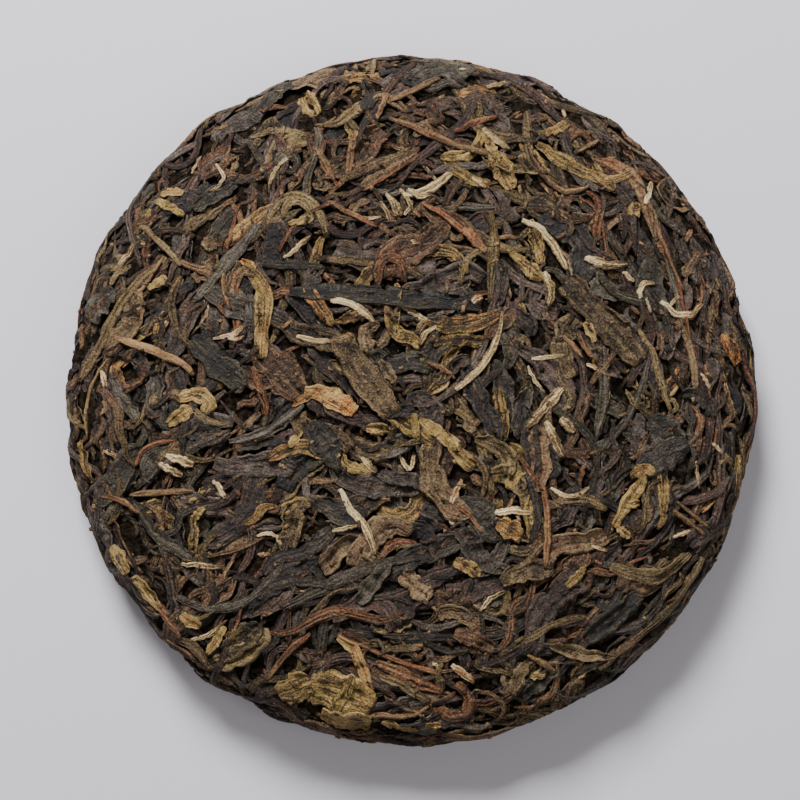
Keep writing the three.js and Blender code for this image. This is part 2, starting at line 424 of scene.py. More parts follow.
@dataclass(frozen=True)
class Cut:
    """The measures of one kind of tea. Pairs are the least and the most.

    Attributes:
        length: The length of a piece in millimetres.
        width: Its width in millimetres.
        thick: Its thickness as a share of its width.
        stations: How many rings a piece has.
        top: How many points of a ring lie on its upper side.
        under: How many points of a ring lie on its underside.
        folds: How many folds run along a piece.
        fold_depth: How deep they are, as a share of the thickness.
        twist: How many folds a piece turns by along its length.
        head: The power of the taper towards the first end, low where it is blunt.
        tail: The power of the taper towards the last end.
        bend: The most that a piece bends, in radians.
        tilt: How far a piece leans to a side, in radians.
        wrinkle: The height of its wrinkles, in millimetres.
        ragged: How uneven its sides are, as a share of its width.
        drape: How closely it follows what lies under it, from 0 to 1.
        fade: How much darker the last end is than the first.
        sheet: Whether it is a thin leaf and not a roll.
        warmest: The warmest hue of its strewn pieces, from 0 to 1.
    """

    length: Pair
    width: Pair
    thick: Pair
    stations: int
    top: int
    under: int
    folds: Pair
    fold_depth: float
    twist: float
    head: Pair
    tail: Pair
    bend: float
    tilt: float
    wrinkle: float
    ragged: float
    drape: float
    fade: float = 0.0
    sheet: bool = False
    warmest: float = 1.0


ROLLED = Cut(
    length=(7, 26), width=(0.8, 2.0), thick=(0.26, 0.48), stations=18, top=9, under=1, folds=(1.8, 3.8),
    fold_depth=0.85, twist=1.6, head=(0.2, 0.7), tail=(0.25, 0.9), bend=1.8, tilt=0.25, wrinkle=0.12,
    ragged=0.22, drape=0.55)
FLAT = Cut(
    length=(6, 16), width=(1.6, 4.8), thick=(0.06, 0.1), stations=18, top=12, under=1, folds=(2.5, 5.5),
    fold_depth=0.3, twist=1.2, head=(0.06, 0.4), tail=(0.08, 0.5), bend=1.2, tilt=0.16, wrinkle=0.42,
    ragged=0.18, drape=0.75, sheet=True)

CUTS = {
    Tea.FINES: replace(ROLLED, length=(2, 7), width=(0.45, 1.2), thick=(0.35, 0.7), stations=7, top=5,
                       folds=(1, 2), tilt=0.4, wrinkle=0.1),
    Tea.BROKEN: replace(ROLLED, length=(3, 9), width=(0.7, 2.0), thick=(0.2, 0.4), stations=8, top=6,
                        folds=(1.2, 2.6), tilt=0.4, drape=0.6),
    Tea.DARK_ROLL: ROLLED,
    Tea.BROWN_ROLL: replace(ROLLED, length=(6, 22), width=(0.8, 2.4), stations=16),
    Tea.DARK_LEAF: FLAT,
    Tea.BROWN_LEAF: replace(FLAT, length=(5, 14), width=(1.8, 4.4)),
    Tea.OLIVE_LEAF: replace(FLAT, length=(4, 12), width=(1.0, 2.8), top=10, head=(0.15, 0.6),
                            tail=(0.2, 0.7), folds=(1.5, 4), wrinkle=0.3, warmest=0.4),
    Tea.STEM: replace(ROLLED, length=(6, 18), width=(0.5, 1.0), thick=(0.6, 0.85), stations=13, top=6,
                      folds=(1, 2.4), fold_depth=0.35, twist=0.4, head=(0.06, 0.2), tail=(0.08, 0.3),
                      bend=0.8, wrinkle=0.08, ragged=0.16, drape=0.2),
    Tea.BUD: replace(ROLLED, length=(5, 10), width=(0.6, 1.0), thick=(0.4, 0.6), stations=16, top=9,
                     folds=(1.6, 3.2), fold_depth=0.6, twist=0.4, head=(0.2, 0.45), tail=(0.4, 0.8),
                     bend=1.1, wrinkle=0.06, ragged=0.16, drape=0.4, fade=0.8),
}


@dataclass(frozen=True)
class Layer:
    """One layer of strewn pieces of a kind.

    Attributes:
        tea: The kind of tea.
        count: How many pieces.
        turn: When they are laid, least and most, from 0 for first to 1 for last.
        tone: How light they are within their kind, least and most.
    """

    tea: Tea
    count: int
    turn: Pair
    tone: Pair


LAYERS = (
    Layer(Tea.FINES, 1500, (0.0, 0.3), (0.0, 0.7)),
    Layer(Tea.FINES, 1100, (0.3, 0.95), (0.0, 0.85)),
    Layer(Tea.BROKEN, 900, (0.0, 0.3), (0.0, 0.6)),
    Layer(Tea.BROKEN, 800, (0.3, 0.9), (0.0, 0.75)),
    Layer(Tea.DARK_ROLL, 640, (0.1, 1.0), (0.0, 0.7)),
    Layer(Tea.BROWN_ROLL, 520, (0.1, 1.0), (0.0, 0.7)),
    Layer(Tea.DARK_LEAF, 520, (0.05, 0.9), (0.0, 0.7)),
    Layer(Tea.BROWN_LEAF, 300, (0.05, 0.9), (0.0, 0.75)),
    Layer(Tea.OLIVE_LEAF, 200, (0.05, 0.9), (0.0, 0.55)),
    Layer(Tea.STEM, 110, (0.1, 0.9), (0.0, 0.7)),
    Layer(Tea.BUD, 60, (0.1, 0.9), (0.0, 0.5)),
)


# When a piece that is laid one by one has no lift, in the same count as a layer's turn
LAID_TURN = 0.9


@dataclass(frozen=True)
class Laid:
    """One piece that shows on the face and is laid one by one.

    Attributes:
        name: What the piece is.
        through: The pixels of the photograph that its middle line runs through.
        width: Its width in millimetres.
        tone: How light it is within its kind.
        hue: How warm it is within its kind: golden at 0, plain at 0.35 and reddish at 1.
        lift: How late it is laid: over all strewn pieces from 0.1 up, under some of them below.
        grow: How much wider it gets from the first end to the last, as a share.
        sharp: The power of the taper of both ends, low where they are blunt.
    """

    name: str
    through: tuple[Pixel, ...]
    width: float
    tone: float
    hue: float = 0.3
    lift: float = 0.2
    grow: float = 0.0
    sharp: float = 0.35


# The pieces that are laid one by one, a block for each kind
LAID: dict[Tea, tuple[Laid, ...]] = {}

LAID[Tea.BUD] = (
    Laid("long cream bud", ((457, 389), (484, 367), (499, 338), (504, 310)), 1.3, 0.5, grow=-0.8),
    Laid("cream bud over black", ((329, 299), (347, 300), (361, 308), (374, 321)), 1.2, 0.9, lift=0.5),
    Laid("curved cream bud", ((524, 217), (541, 225), (559, 246), (569, 268)), 1.4, 0.8, lift=0.4),
    Laid("silver fork", ((403, 192), (424, 189), (440, 180), (453, 170)), 1.6, 0.7, lift=0.4),
    Laid("silver fork, short arm", ((408, 186), (420, 194), (432, 192)), 1.0, 0.5, lift=0.4),
    Laid("streaked bud, upper left", ((282, 256), (295, 246), (309, 233)), 0.91, 0.7),
    Laid("pink tan bud", ((401, 305), (415, 311), (430, 321)), 0.99, 0.7, hue=0.8),
    Laid("pale ended strand", ((294, 335), (312, 340), (330, 340)), 1.0, 0.7, lift=0.5),
    Laid("streaked bud, right", ((587, 256), (609, 264), (631, 262)), 1.6, 0.5, lift=0.3),
    Laid("short pale bud", ((626, 270), (637, 280)), 0.91, 0.8),
    Laid("upright pale bud", ((649, 201), (654, 188), (659, 175)), 1.1, 0.8, lift=0.4),
    Laid("silver cluster", ((393, 196), (398, 204), (402, 213)), 0.99, 0.4),
    Laid("silver cluster, right", ((404, 212), (410, 205), (412, 197)), 0.76, 0.45),
    Laid("small pale bud", ((473, 174), (480, 179), (487, 185)), 0.68, 0.7),
    Laid("pale hook, upper left", ((213, 160), (222, 174), (216, 183), (208, 189)), 0.68, 0.6),
    Laid("sliver, upper left", ((184, 166), (190, 157), (195, 149)), 0.61, 0.6),
    Laid("silver streak, top", ((488, 79), (502, 74), (515, 71)), 0.84, 0.3),
    Laid("speck of the top", ((461, 57), (469, 59)), 0.61, 0.7),
    Laid("speck of the upper middle", ((411, 238), (417, 242)), 0.61, 0.7),
    Laid("cream forked bud", ((209, 338), (225, 336), (235, 332), (241, 325)), 0.91, 0.75),
    Laid("its fork", ((225, 337), (235, 339), (242, 335)), 0.68, 0.7),
    Laid("white triangle", ((96, 370), (98, 378), (99, 387)), 1.1, 0.8, lift=0.4),
    Laid("cream dot, left", ((135, 240), (141, 241)), 0.61, 0.7, hue=0.6),
    Laid("cream bar", ((533, 358), (550, 357), (567, 354)), 0.75, 0.8, lift=0.4),
    Laid("cream wire", ((530, 365), (536, 380), (548, 393)), 0.6, 0.8, lift=0.4),
    Laid("cream bar, right", ((704, 373), (710, 381), (715, 390)), 0.68, 0.8),
    Laid("curl of the right", ((643, 297), (644, 286), (650, 280), (659, 282)), 1.0, 0.7, lift=0.4),
    Laid("curl of the right, stem", ((650, 296), (652, 304), (654, 312)), 0.53, 0.7),
    Laid("curl of the right, bowl", ((664, 300), (680, 314), (698, 315), (708, 303)), 1.4, 0.7, lift=0.4),
    Laid("curl of the right, prong", ((673, 306), (678, 299), (684, 294)), 0.7, 0.6, lift=0.4),
    Laid("pink cream bar", ((589, 363), (599, 368), (608, 374)), 0.68, 0.6, hue=0.9),
    Laid("curved cream bud, lower", ((339, 490), (346, 508), (362, 524), (370, 540), (375, 557)),
         1.3, 1.0, lift=0.5),
    Laid("level pale bud", ((496, 515), (515, 512), (534, 514)), 1.2, 0.9, hue=0.8, lift=0.4),
    Laid("tan bud of the middle", ((452, 505), (457, 492), (463, 481)), 1.1, 0.5, hue=0.8),
    Laid("pale notch, left", ((399, 457), (404, 466), (409, 473)), 0.9, 0.7, lift=0.4),
    Laid("pale notch, right", ((409, 473), (413, 466), (414, 456)), 0.8, 0.6, lift=0.4),
    Laid("pale bar, left", ((178, 567), (198, 568), (219, 570)), 1.1, 0.5),
    Laid("right lower bud", ((679, 541), (690, 537), (699, 533)), 0.76, 0.7),
    Laid("cream spot, left", ((97, 451), (104, 455), (110, 457)), 0.76, 0.6, hue=0.9),
    Laid("silver sliver", ((163, 456), (177, 461), (191, 467)), 1.7, 0.6, lift=0.4),
    Laid("silver sliver, lower", ((156, 464), (167, 471), (178, 478)), 1.4, 0.5, lift=0.4),
    Laid("cream bud, left", ((211, 481), (218, 490), (222, 500)), 1.0, 0.9, lift=0.4),
    Laid("cream bar, right rim", ((718, 444), (725, 450), (731, 456)), 0.68, 0.7),
    Laid("cream tan bar", ((701, 462), (704, 477), (706, 491)), 0.68, 0.5, hue=0.8),
    Laid("cream loop", ((553, 489), (566, 498), (580, 497), (591, 488)), 0.85, 0.7, lift=0.4),
    Laid("pale sliver", ((331, 533), (345, 530), (358, 527)), 0.8, 0.6, lift=0.5),
    Laid("cream hook", ((254, 538), (266, 535), (275, 538), (280, 548)), 0.68, 0.8),
    Laid("cream dash", ((255, 557), (268, 557)), 0.61, 0.6),
    Laid("silver spot", ((450, 523), (458, 527)), 0.84, 0.5),
    Laid("pale tan streak", ((452, 669), (463, 677), (475, 687)), 1.3, 0.5, hue=0.8, lift=0.4),
    Laid("white dot", ((433, 667), (439, 671)), 0.68, 0.9),
    Laid("pale dash, lower right", ((594, 548), (610, 553)), 0.68, 0.7),
    Laid("grey brown leaf, right", ((546, 270), (553, 288), (551, 305)), 1.6, 0.3),
    Laid("grey tan blade", ((565, 388), (547, 407), (529, 428)), 1.7, 0.3, lift=0.4, sharp=0.25),
    Laid("pale grey blade", ((548, 421), (557, 440), (565, 458)), 1.5, 0.3, lift=0.4),
    Laid("pale tan triangle", ((563, 418), (570, 426), (577, 433)), 1.6, 0.3, hue=0.4, lift=0.4),
    Laid("grey cream sliver", ((111, 262), (121, 249), (130, 239)), 1.0, 0.35),
    Laid("silver cluster, left", ((380, 199), (387, 210), (390, 219)), 0.8, 0.3),
    Laid("silver cluster, middle", ((386, 190), (393, 201), (397, 214)), 0.9, 0.5),
    Laid("silver cluster, upper", ((400, 186), (408, 196), (413, 208)), 0.8, 0.3),
    Laid("pale blade, middle", ((361, 458), (368, 467), (376, 474)), 1.2, 0.3, lift=0.3),
    Laid("pale curved piece", ((437, 324), (425, 332), (420, 344)), 1.0, 0.5, hue=0.6, lift=0.4),
    Laid("small white triangle", ((473, 301), (478, 297), (484, 295)), 1.2, 0.6, hue=0.5, lift=0.4),
    Laid("grey sliver, bottom", ((481, 614), (492, 602), (507, 594)), 1.0, 0.3, lift=0.4),
    Laid("pale tan blade, top right", ((484, 126), (496, 136), (511, 146)), 1.2, 0.4, hue=0.4, lift=0.4),
)

LAID[Tea.STEM] = (
    Laid("brown tan stem", ((389, 114), (420, 127), (455, 141), (489, 152)), 1.2, 0.55),
    Laid("red brown stem", ((454, 128), (478, 118), (499, 111)), 1.1, 0.35, hue=0.9),
    Laid("tan stem of the top", ((387, 87), (381, 100), (376, 114)), 1.1, 0.75),
    Laid("olive tan stem", ((390, 96), (415, 84), (441, 69)), 1.2, 0.5, hue=0.1),
    Laid("orange red stem", ((422, 200), (445, 213), (464, 228), (480, 243)), 1.1, 0.7, hue=0.9),
    Laid("its flared end", ((464, 226), (477, 238), (487, 250)), 1.9, 0.6, hue=0.8),
    Laid("upper left stem", ((314, 144), (325, 160), (334, 179)), 1.1, 0.5),
    Laid("upper stem", ((326, 198), (350, 212), (377, 225)), 1.0, 0.5, hue=0.6),
    Laid("short stem, top right", ((581, 147), (592, 140), (604, 133)), 1.0, 0.5),
    Laid("bent stem, top right", ((535, 155), (548, 176), (560, 188), (576, 190), (591, 184)), 1.1, 0.45),
    Laid("long thin stem, right", ((659, 222), (671, 250), (688, 289)), 0.8, 0.6, hue=0.6),
    Laid("short stem, right", ((693, 238), (701, 224)), 1.0, 0.5),
    Laid("stem, left", ((139, 227), (157, 241), (174, 256)), 0.9, 0.4, lift=0.3),
    Laid("pink tan stem", ((109, 336), (139, 346), (162, 355), (182, 363), (190, 375)),
         1.5, 1.05, hue=0.5, lift=0.4),
    Laid("straight tan stem", ((124, 497), (158, 494), (190, 492)), 1.1, 0.6),
    Laid("red curved stem", ((131, 468), (139, 450), (155, 443), (173, 441)), 1.0, 0.35, hue=0.9),
    Laid("pinkish stem, left", ((95, 498), (108, 499), (120, 503), (135, 515)), 1.0, 0.5, hue=0.9),
    Laid("golden edge, left rim", ((103, 358), (82, 381), (72, 409), (75, 441)), 0.8, 0.8, hue=0.1),
    Laid("golden loop", ((96, 401), (100, 407), (94, 415)), 0.8, 0.9, hue=0.2),
    Laid("golden edge, upper", ((132, 295), (141, 284), (149, 272)), 0.7, 0.8, hue=0.2),
    Laid("golden edge, top", ((146, 274), (153, 264), (159, 253)), 0.7, 0.8, hue=0.2),
    Laid("orange edge of the leaf", ((362, 189), (390, 171), (418, 154)), 0.6, 0.5, hue=0.9),
    Laid("red brown stem, right", ((520, 456), (530, 470), (541, 487)), 0.9, 0.3, hue=0.8, lift=0.3),
    Laid("tan stem, right", ((544, 484), (548, 505), (550, 535), (547, 570)), 1.2, 0.8, hue=0.5, lift=0.4),
    Laid("orange brown stem", ((152, 615), (164, 628), (176, 641)), 1.0, 0.5, hue=0.8),
    Laid("short brown stem", ((529, 659), (545, 668), (559, 679)), 1.1, 0.4),
    Laid("double stem", ((677, 512), (696, 526), (714, 539)), 1.0, 0.45),
    Laid("double stem, upper", ((681, 503), (700, 518), (717, 531)), 0.9, 0.4),
    Laid("red brown stem, bottom", ((309, 637), (287, 656), (264, 685)), 1.3, 0.3, hue=0.8),
    Laid("orange loop", ((457, 508), (468, 514), (476, 524), (483, 535)), 0.8, 0.6, hue=0.8),
    Laid("segmented strand", ((362, 723), (390, 724), (416, 721), (429, 711)), 1.0, 0.75),
    Laid("ochre strand", ((428, 361), (443, 366), (457, 378)), 1.0, 0.5, hue=0.6, lift=0.3),
    Laid("thin red strand, upper left", ((236, 200), (230, 225), (224, 250)), 0.7, 0.4, hue=0.9),
    Laid("tan cross strand", ((565, 335), (576, 345), (585, 357)), 0.9, 0.8, hue=0.5, lift=0.3),
    Laid("tan cross strand, second", ((580, 331), (586, 345), (594, 357)), 0.8, 0.7, hue=0.6, lift=0.3),
)

LAID[Tea.OLIVE_LEAF] = (
    Laid("tan bent leaf", ((242, 264), (257, 276), (264, 298), (260, 325), (259, 358)),
         2.8, 0.35, hue=0.1, lift=0.4, grow=0.3),
    Laid("its orange tip", ((239, 258), (246, 263), (254, 272)), 1.5, 0.7, hue=1.2, lift=0.3),
    Laid("golden stalk", ((290, 406), (300, 399), (312, 394)), 1.2, 0.75, hue=0.7, lift=0.6),
    Laid("golden leaf", ((303, 391), (326, 395), (349, 409)),
         3.2, 0.75, hue=0.5, lift=0.7, grow=0.4, sharp=0.2),
    Laid("its red end", ((341, 403), (347, 408), (353, 413)), 2.5, 0.65, hue=1.5, lift=0.8, sharp=0.2),
    Laid("forked olive leaf", ((538, 138), (566, 158), (590, 170), (612, 180), (636, 168)),
         2.0, 0.45, hue=0.1),
    Laid("its lower prong", ((598, 170), (608, 178), (618, 186)), 1.6, 0.4, hue=0.1),
    Laid("olive spindle", ((420, 420), (440, 434), (458, 452)), 1.9, 0.65, hue=0.0, lift=0.4, sharp=0.5),
    Laid("its side", ((414, 414), (415, 426), (418, 438)), 1.3, 0.6, hue=0.0, lift=0.4),
    Laid("small olive leaf", ((364, 429), (376, 430), (388, 431)), 1.9, 0.6, lift=0.4),
    Laid("crumpled tan leaf", ((299, 82), (306, 96), (315, 108)), 3.0, 0.5, hue=0.25, sharp=0.3),
    Laid("ochre patch, top", ((460, 89), (480, 86), (499, 83)), 2.2, 0.3, hue=0.6, lift=0.0),
    Laid("yellowish patch", ((492, 150), (502, 163), (514, 186)), 3.2, 0.35, lift=0.3),
    Laid("its stalk", ((484, 124), (489, 138), (496, 152)), 1.6, 0.6, hue=0.5, lift=0.1),
    Laid("ochre flake", ((631, 208), (637, 207), (644, 205)), 2.2, 0.6, lift=0.3),
    Laid("olive streak", ((548, 130), (560, 124), (572, 117)), 1.6, 0.5),
    Laid("olive leaf, upper right", ((531, 217), (538, 240), (543, 262)), 2.0, 0.3, hue=0.4, lift=0.0),
    Laid("olive leaf under the bud", ((303, 286), (316, 303), (332, 324)), 2.2, 0.25, hue=0.4, lift=0.1),
    Laid("olive dash", ((287, 222), (300, 219), (313, 216)), 1.2, 0.6),
    Laid("yellow leaf, left", ((144, 287), (154, 281), (163, 275)), 1.4, 1.0, hue=0.1),
    Laid("tan ochre leaf", ((152, 188), (166, 187), (180, 189)), 1.5, 0.9, hue=0.6),
    Laid("pale olive leaf", ((150, 197), (166, 203), (180, 212)), 1.4, 0.8, hue=0.1),
    Laid("folded olive leaf", ((176, 399), (193, 393), (208, 400), (203, 414)), 2.4, 0.85, hue=0.2),
    Laid("its lower fold", ((165, 425), (178, 415), (190, 408)), 2.2, 0.7, hue=0.2),
    Laid("mustard triangle", ((587, 321), (592, 330), (598, 341)), 1.3, 1.0, hue=0.4, lift=0.5),
    Laid("golden crumpled strand", ((638, 466), (649, 479), (636, 497), (624, 512), (617, 529)),
         2.0, 0.6, hue=0.1),
    Laid("its upper fold", ((633, 478), (645, 468), (658, 474)), 1.6, 0.6, hue=0.5),
    Laid("reddish patch, right rim", ((729, 333), (738, 348), (747, 364)), 2.2, 0.2, hue=0.7),
    Laid("rim leaf, left", ((103, 550), (112, 564), (120, 578)), 2.4, 0.8),
    Laid("rim leaf, lower left", ((127, 580), (140, 600), (153, 616)), 2.2, 0.75),
    Laid("rim leaf, far left", ((66, 443), (74, 454), (76, 469), (83, 485)), 1.6, 0.4),
    Laid("golden dash", ((177, 618), (187, 624), (196, 632)), 2.0, 0.9, hue=0.5, lift=0.3),
    Laid("golden bar", ((202, 660), (212, 646), (222, 631)), 1.4, 0.85),
    Laid("yellow flake", ((189, 522), (195, 515), (201, 509)), 1.2, 1.1),
    Laid("ochre patch, middle", ((499, 525), (511, 531), (523, 537)), 3.2, 0.4, hue=0.5, lift=0.3),
    Laid("bright ochre flake", ((619, 529), (626, 534), (633, 539)), 1.3, 0.9, hue=0.2),
    Laid("yellow tip", ((532, 682), (540, 682), (549, 682)), 1.2, 0.9),
    Laid("olive dash, lower right", ((569, 590), (578, 580), (587, 569)), 1.5, 0.6),
    Laid("olive dash, right", ((627, 506), (636, 506), (644, 504)), 1.3, 0.8),
    Laid("golden brown leaf", ((455, 563), (469, 570), (482, 576)), 2.2, 0.5, hue=0.4),
    Laid("crumpled olive leaf", ((275, 701), (291, 695), (309, 686)), 4.6, 0.3, lift=0.4, sharp=0.25),
    Laid("its lower fold, bottom", ((283, 709), (297, 704), (311, 694)), 1.8, 0.1, hue=0.35, lift=0.5),
    Laid("large crumpled leaf", ((308, 690), (338, 698), (372, 714)),
         6.6, 0.35, hue=0.2, lift=0.3, sharp=0.25),
    Laid("large crumpled leaf, fold", ((330, 718), (344, 700), (352, 680)), 2.0, 0.2, lift=0.5),
    Laid("crumpled leaf of the rim", ((318, 724), (342, 731), (370, 733)),
         4.2, 0.55, hue=0.15, lift=0.5, sharp=0.25),
    Laid("tan bent leaf, bottom", ((336, 642), (354, 653), (362, 674), (373, 706)), 1.8, 0.85, hue=0.6),
    Laid("tan olive dash", ((381, 731), (400, 738), (419, 744)), 1.4, 0.6),
    Laid("ochre dash, bottom", ((426, 733), (434, 734), (442, 733)), 1.3, 0.8, hue=0.5),
    Laid("yellow triangle", ((287, 447), (294, 439), (299, 431)), 1.3, 0.8, hue=0.2, lift=0.3),
    Laid("golden leaf of the middle", ((428, 318), (452, 325), (478, 322), (502, 312)),
         3.0, -0.05, hue=0.25, lift=0.3),
    Laid("its lower side", ((434, 342), (458, 337), (486, 341)), 2.4, -0.1, hue=0.35, lift=0.25),
)

LAID[Tea.BROWN_LEAF] = (
    Laid("broad ribbed leaf", ((338, 336), (353, 360), (370, 385), (391, 416)),
         4.6, 0.35, hue=0.5, lift=0.45, sharp=0.12),
    Laid("broad ribbed leaf, right", ((568, 280), (590, 304), (612, 326), (643, 362)),
         4.4, 0.2, hue=0.45, lift=0.3, sharp=0.15),
    Laid("broad dark olive leaf", ((193, 675), (225, 655), (257, 628)), 4.0, 0.05, hue=0.1, lift=0.0),
    Laid("wavy rim leaf", ((613, 569), (637, 578), (659, 583), (680, 572), (699, 558)), 2.6, 0.6, hue=0.2),
    Laid("striped pale leaf", ((552, 650), (576, 657), (598, 662), (620, 663)),
         2.2, 1.0, hue=0.4, lift=0.4, sharp=0.6),
    Laid("pinkish tan patch", ((402, 576), (416, 588), (430, 602)), 3.2, 0.95, hue=0.6, sharp=0.2),
    Laid("reddish brown leaf, left", ((252, 346), (276, 368), (302, 398)),
         5.4, 0.1, hue=0.8, lift=0.1, sharp=0.4),
    Laid("pinkish grey leaf", ((379, 359), (387, 370), (394, 381)), 1.7, 0.95, hue=0.6, lift=0.6),
    Laid("reddish leaf, bottom", ((455, 636), (476, 641), (497, 653)), 3.0, 0.3, hue=0.8),
    Laid("ribbed brown leaf, lower right", ((502, 585), (525, 572), (556, 570)), 3.4, 0.35, lift=0.1),
    Laid("ochre brown leaf", ((528, 668), (520, 684), (514, 700)), 2.2, 0.6),
)

LAID[Tea.BROWN_ROLL] = (
    Laid("pale grey curl", ((134, 223), (144, 224), (148, 234), (166, 249), (178, 264)),
         1.1, 1.1, hue=0.1, lift=0.4),
    Laid("grey brown sliver", ((103, 282), (112, 268), (127, 259)), 1.1, 0.8, hue=0.1),
    Laid("long brown olive bundle", ((67, 381), (88, 350), (106, 322), (128, 285), (162, 255)),
         1.9, 0.6, hue=0.1),
    Laid("brown leaf, upper left", ((179, 227), (205, 210), (233, 193)), 2.0, 0.5),
    Laid("long brown leaf, top", ((339, 178), (378, 160), (419, 144)), 1.8, 0.4),
    Laid("orange edged leaf", ((360, 185), (388, 167), (417, 150)), 2.2, 0.45),
    Laid("brown blob", ((198, 238), (206, 241), (214, 244)), 2.6, 0.4),
    Laid("brown tail of the pale strand", ((328, 340), (342, 338), (352, 333)),
         1.3, 0.7, hue=0.6, lift=0.5),
    Laid("red brown strand, left", ((250, 366), (259, 390), (264, 416)), 1.5, 0.4, hue=1.0),
    Laid("tan grey strand, right", ((642, 328), (657, 350), (665, 385), (675, 412)), 1.2, 0.9, hue=0.1),
    Laid("grey brown strand, right", ((680, 320), (692, 337), (699, 362), (698, 388)), 1.4, 0.9, hue=0.2),
    Laid("dark flake, right rim", ((741, 318), (745, 333), (750, 350)), 1.8, 0.4),
    Laid("lip of the rim, lower right", ((605, 677), (643, 645), (675, 621), (698, 591), (715, 564)),
         1.6, 0.5),
    Laid("brown strand, lower right", ((500, 659), (524, 644), (548, 632), (589, 620)), 1.5, 0.4),
    Laid("red brown strand, bottom", ((376, 667), (398, 676), (422, 688), (441, 698)), 2.1, 0.5, hue=1.0),
    Laid("olive brown strand, bottom", ((378, 680), (401, 688), (430, 707)), 1.8, 0.7, hue=0.2),
    Laid("ring of the bottom", ((439, 715), (454, 728), (471, 718), (472, 702), (457, 688)),
         2.2, 0.45, hue=0.6),
    Laid("coiled leaf, outer", ((266, 226), (270, 203), (290, 189), (312, 196), (322, 214), (326, 236)),
         1.6, 0.6, hue=0.1),
    Laid("coiled leaf, inner", ((281, 217), (283, 203), (292, 197), (303, 199), (309, 208), (310, 222)),
         1.5, 0.7, hue=0.1),
    Laid("golden strand, upper middle", ((325, 258), (350, 259), (380, 263)), 1.4, 0.5, hue=0.2),
    Laid("swirl", ((378, 284), (377, 263), (388, 251), (400, 258), (404, 281)), 1.8, 0.35, hue=0.5),
    Laid("hook of the bottom", ((478, 699), (494, 700), (506, 710), (508, 723), (500, 734)),
         0.9, 0.7, hue=0.4, lift=0.3),
    Laid("golden arc, lower right", ((544, 513), (564, 501), (590, 500), (609, 511)), 1.8, 0.5, hue=0.1),
    Laid("tan strand, upper left", ((246, 131), (268, 125), (291, 126)), 1.2, 0.8, lift=0.3),
    Laid("brown strand, right rim", ((690, 274), (700, 258), (711, 247)), 1.6, 0.5, hue=0.4, lift=0.0),
)

LAID[Tea.DARK_LEAF] = (
    Laid("long black leaf", ((288, 290), (331, 291), (390, 293), (440, 298), (482, 305)),
         3.0, 0.0, hue=0.0, lift=0.3),
    Laid("dark leaf, upper left", ((190, 206), (212, 192), (233, 179)), 2.4, 0.4, hue=0.1),
    Laid("dark leaf of the top", ((362, 70), (371, 88), (362, 104)), 2.2, 0.2, hue=0.1),
    Laid("dark slate leaf", ((190, 337), (210, 358), (243, 388)), 4.2, 0.15, hue=0.0, lift=0.3),
    Laid("grey leaf, left", ((78, 318), (92, 300), (108, 288)), 4.0, 0.6, hue=0.2),
    Laid("black ribbed leaf", ((589, 645), (616, 622), (643, 599)), 4.0, 0.1, hue=0.0),
    Laid("smooth black leaf", ((524, 707), (542, 690), (561, 672)), 2.6, 0.1, hue=0.0),
    Laid("broad dark leaf, right", ((640, 472), (668, 455), (692, 446)), 5.0, 0.35, hue=0.4),
    Laid("round dark leaf, right", ((655, 418), (672, 436), (682, 458)), 5.0, 0.25, hue=0.2, lift=0.0),
    Laid("dark leaf by the blades", ((534, 436), (546, 456), (552, 480)), 4.6, 0.2, hue=0.0, lift=0.0),
    Laid("ribbed dark leaf", ((357, 606), (372, 585), (390, 564)), 2.6, 0.7, hue=0.1, lift=0.45),
    Laid("triangular leaf", ((310, 422), (324, 446), (338, 472)), 4.4, 0.15, hue=0.1, grow=-0.5, sharp=0.8),
    Laid("dark leaf by the cream bud", ((316, 504), (340, 515), (364, 520)), 3.6, 0.2, hue=0.1, lift=0.3),
)

LAID[Tea.DARK_ROLL] = (
    Laid("long grey brown leaf", ((192, 299), (212, 275), (232, 252), (257, 222)), 2.0, 0.8, hue=0.2),
    Laid("dark coil", ((274, 163), (279, 152), (291, 150), (297, 160), (290, 170), (281, 167)),
         1.5, 0.5, hue=0.1, lift=0.4),
    Laid("long grey strand", ((227, 443), (257, 438), (280, 424), (301, 404)), 1.9, 0.9, hue=0.2),
    Laid("dark sliver, left", ((105, 372), (116, 400), (134, 420)), 2.4, 0.6, hue=0.1, lift=0.1),
    Laid("dark strand of the left", ((130, 490), (158, 462), (196, 444), (228, 432)),
         2.2, 0.35, hue=0.2, lift=0.0),
    Laid("dark strand, lower left", ((130, 505), (150, 537), (190, 562)), 2.2, 0.35, hue=0.2, lift=0.0),
    Laid("dark strand of the middle", ((280, 612), (320, 592), (370, 568), (420, 560)),
         2.2, 0.4, hue=0.2, lift=0.0),
    Laid("black strand", ((254, 258), (276, 264), (300, 262), (323, 266)), 1.6, 0.1, hue=0.1, lift=0.3),
    Laid("dark strand by the tan stem", ((524, 466), (536, 492), (541, 520), (532, 545)),
         1.4, 0.3, lift=0.3),
    Laid("black coil of the lower left", ((262, 577), (274, 560), (300, 556), (322, 548), (336, 528)),
         2.2, 0.25, hue=0.1, lift=0.3),
    Laid("dark strand under the coil", ((256, 602), (272, 586), (302, 583), (332, 590)),
         1.8, 0.25, hue=0.2, lift=0.25),
    Laid("dark strand, right rim", ((686, 236), (697, 256), (704, 282)), 2.2, 0.35, hue=0.2, lift=-0.1),
    Laid("dark strand, right rim, outer", ((700, 234), (709, 254), (716, 276)), 2.0, 0.3, lift=-0.2),
    Laid("strand over the upper right rim", ((596, 120), (612, 128), (629, 141)),
         1.6, 0.4, hue=0.4, lift=0.0),
)


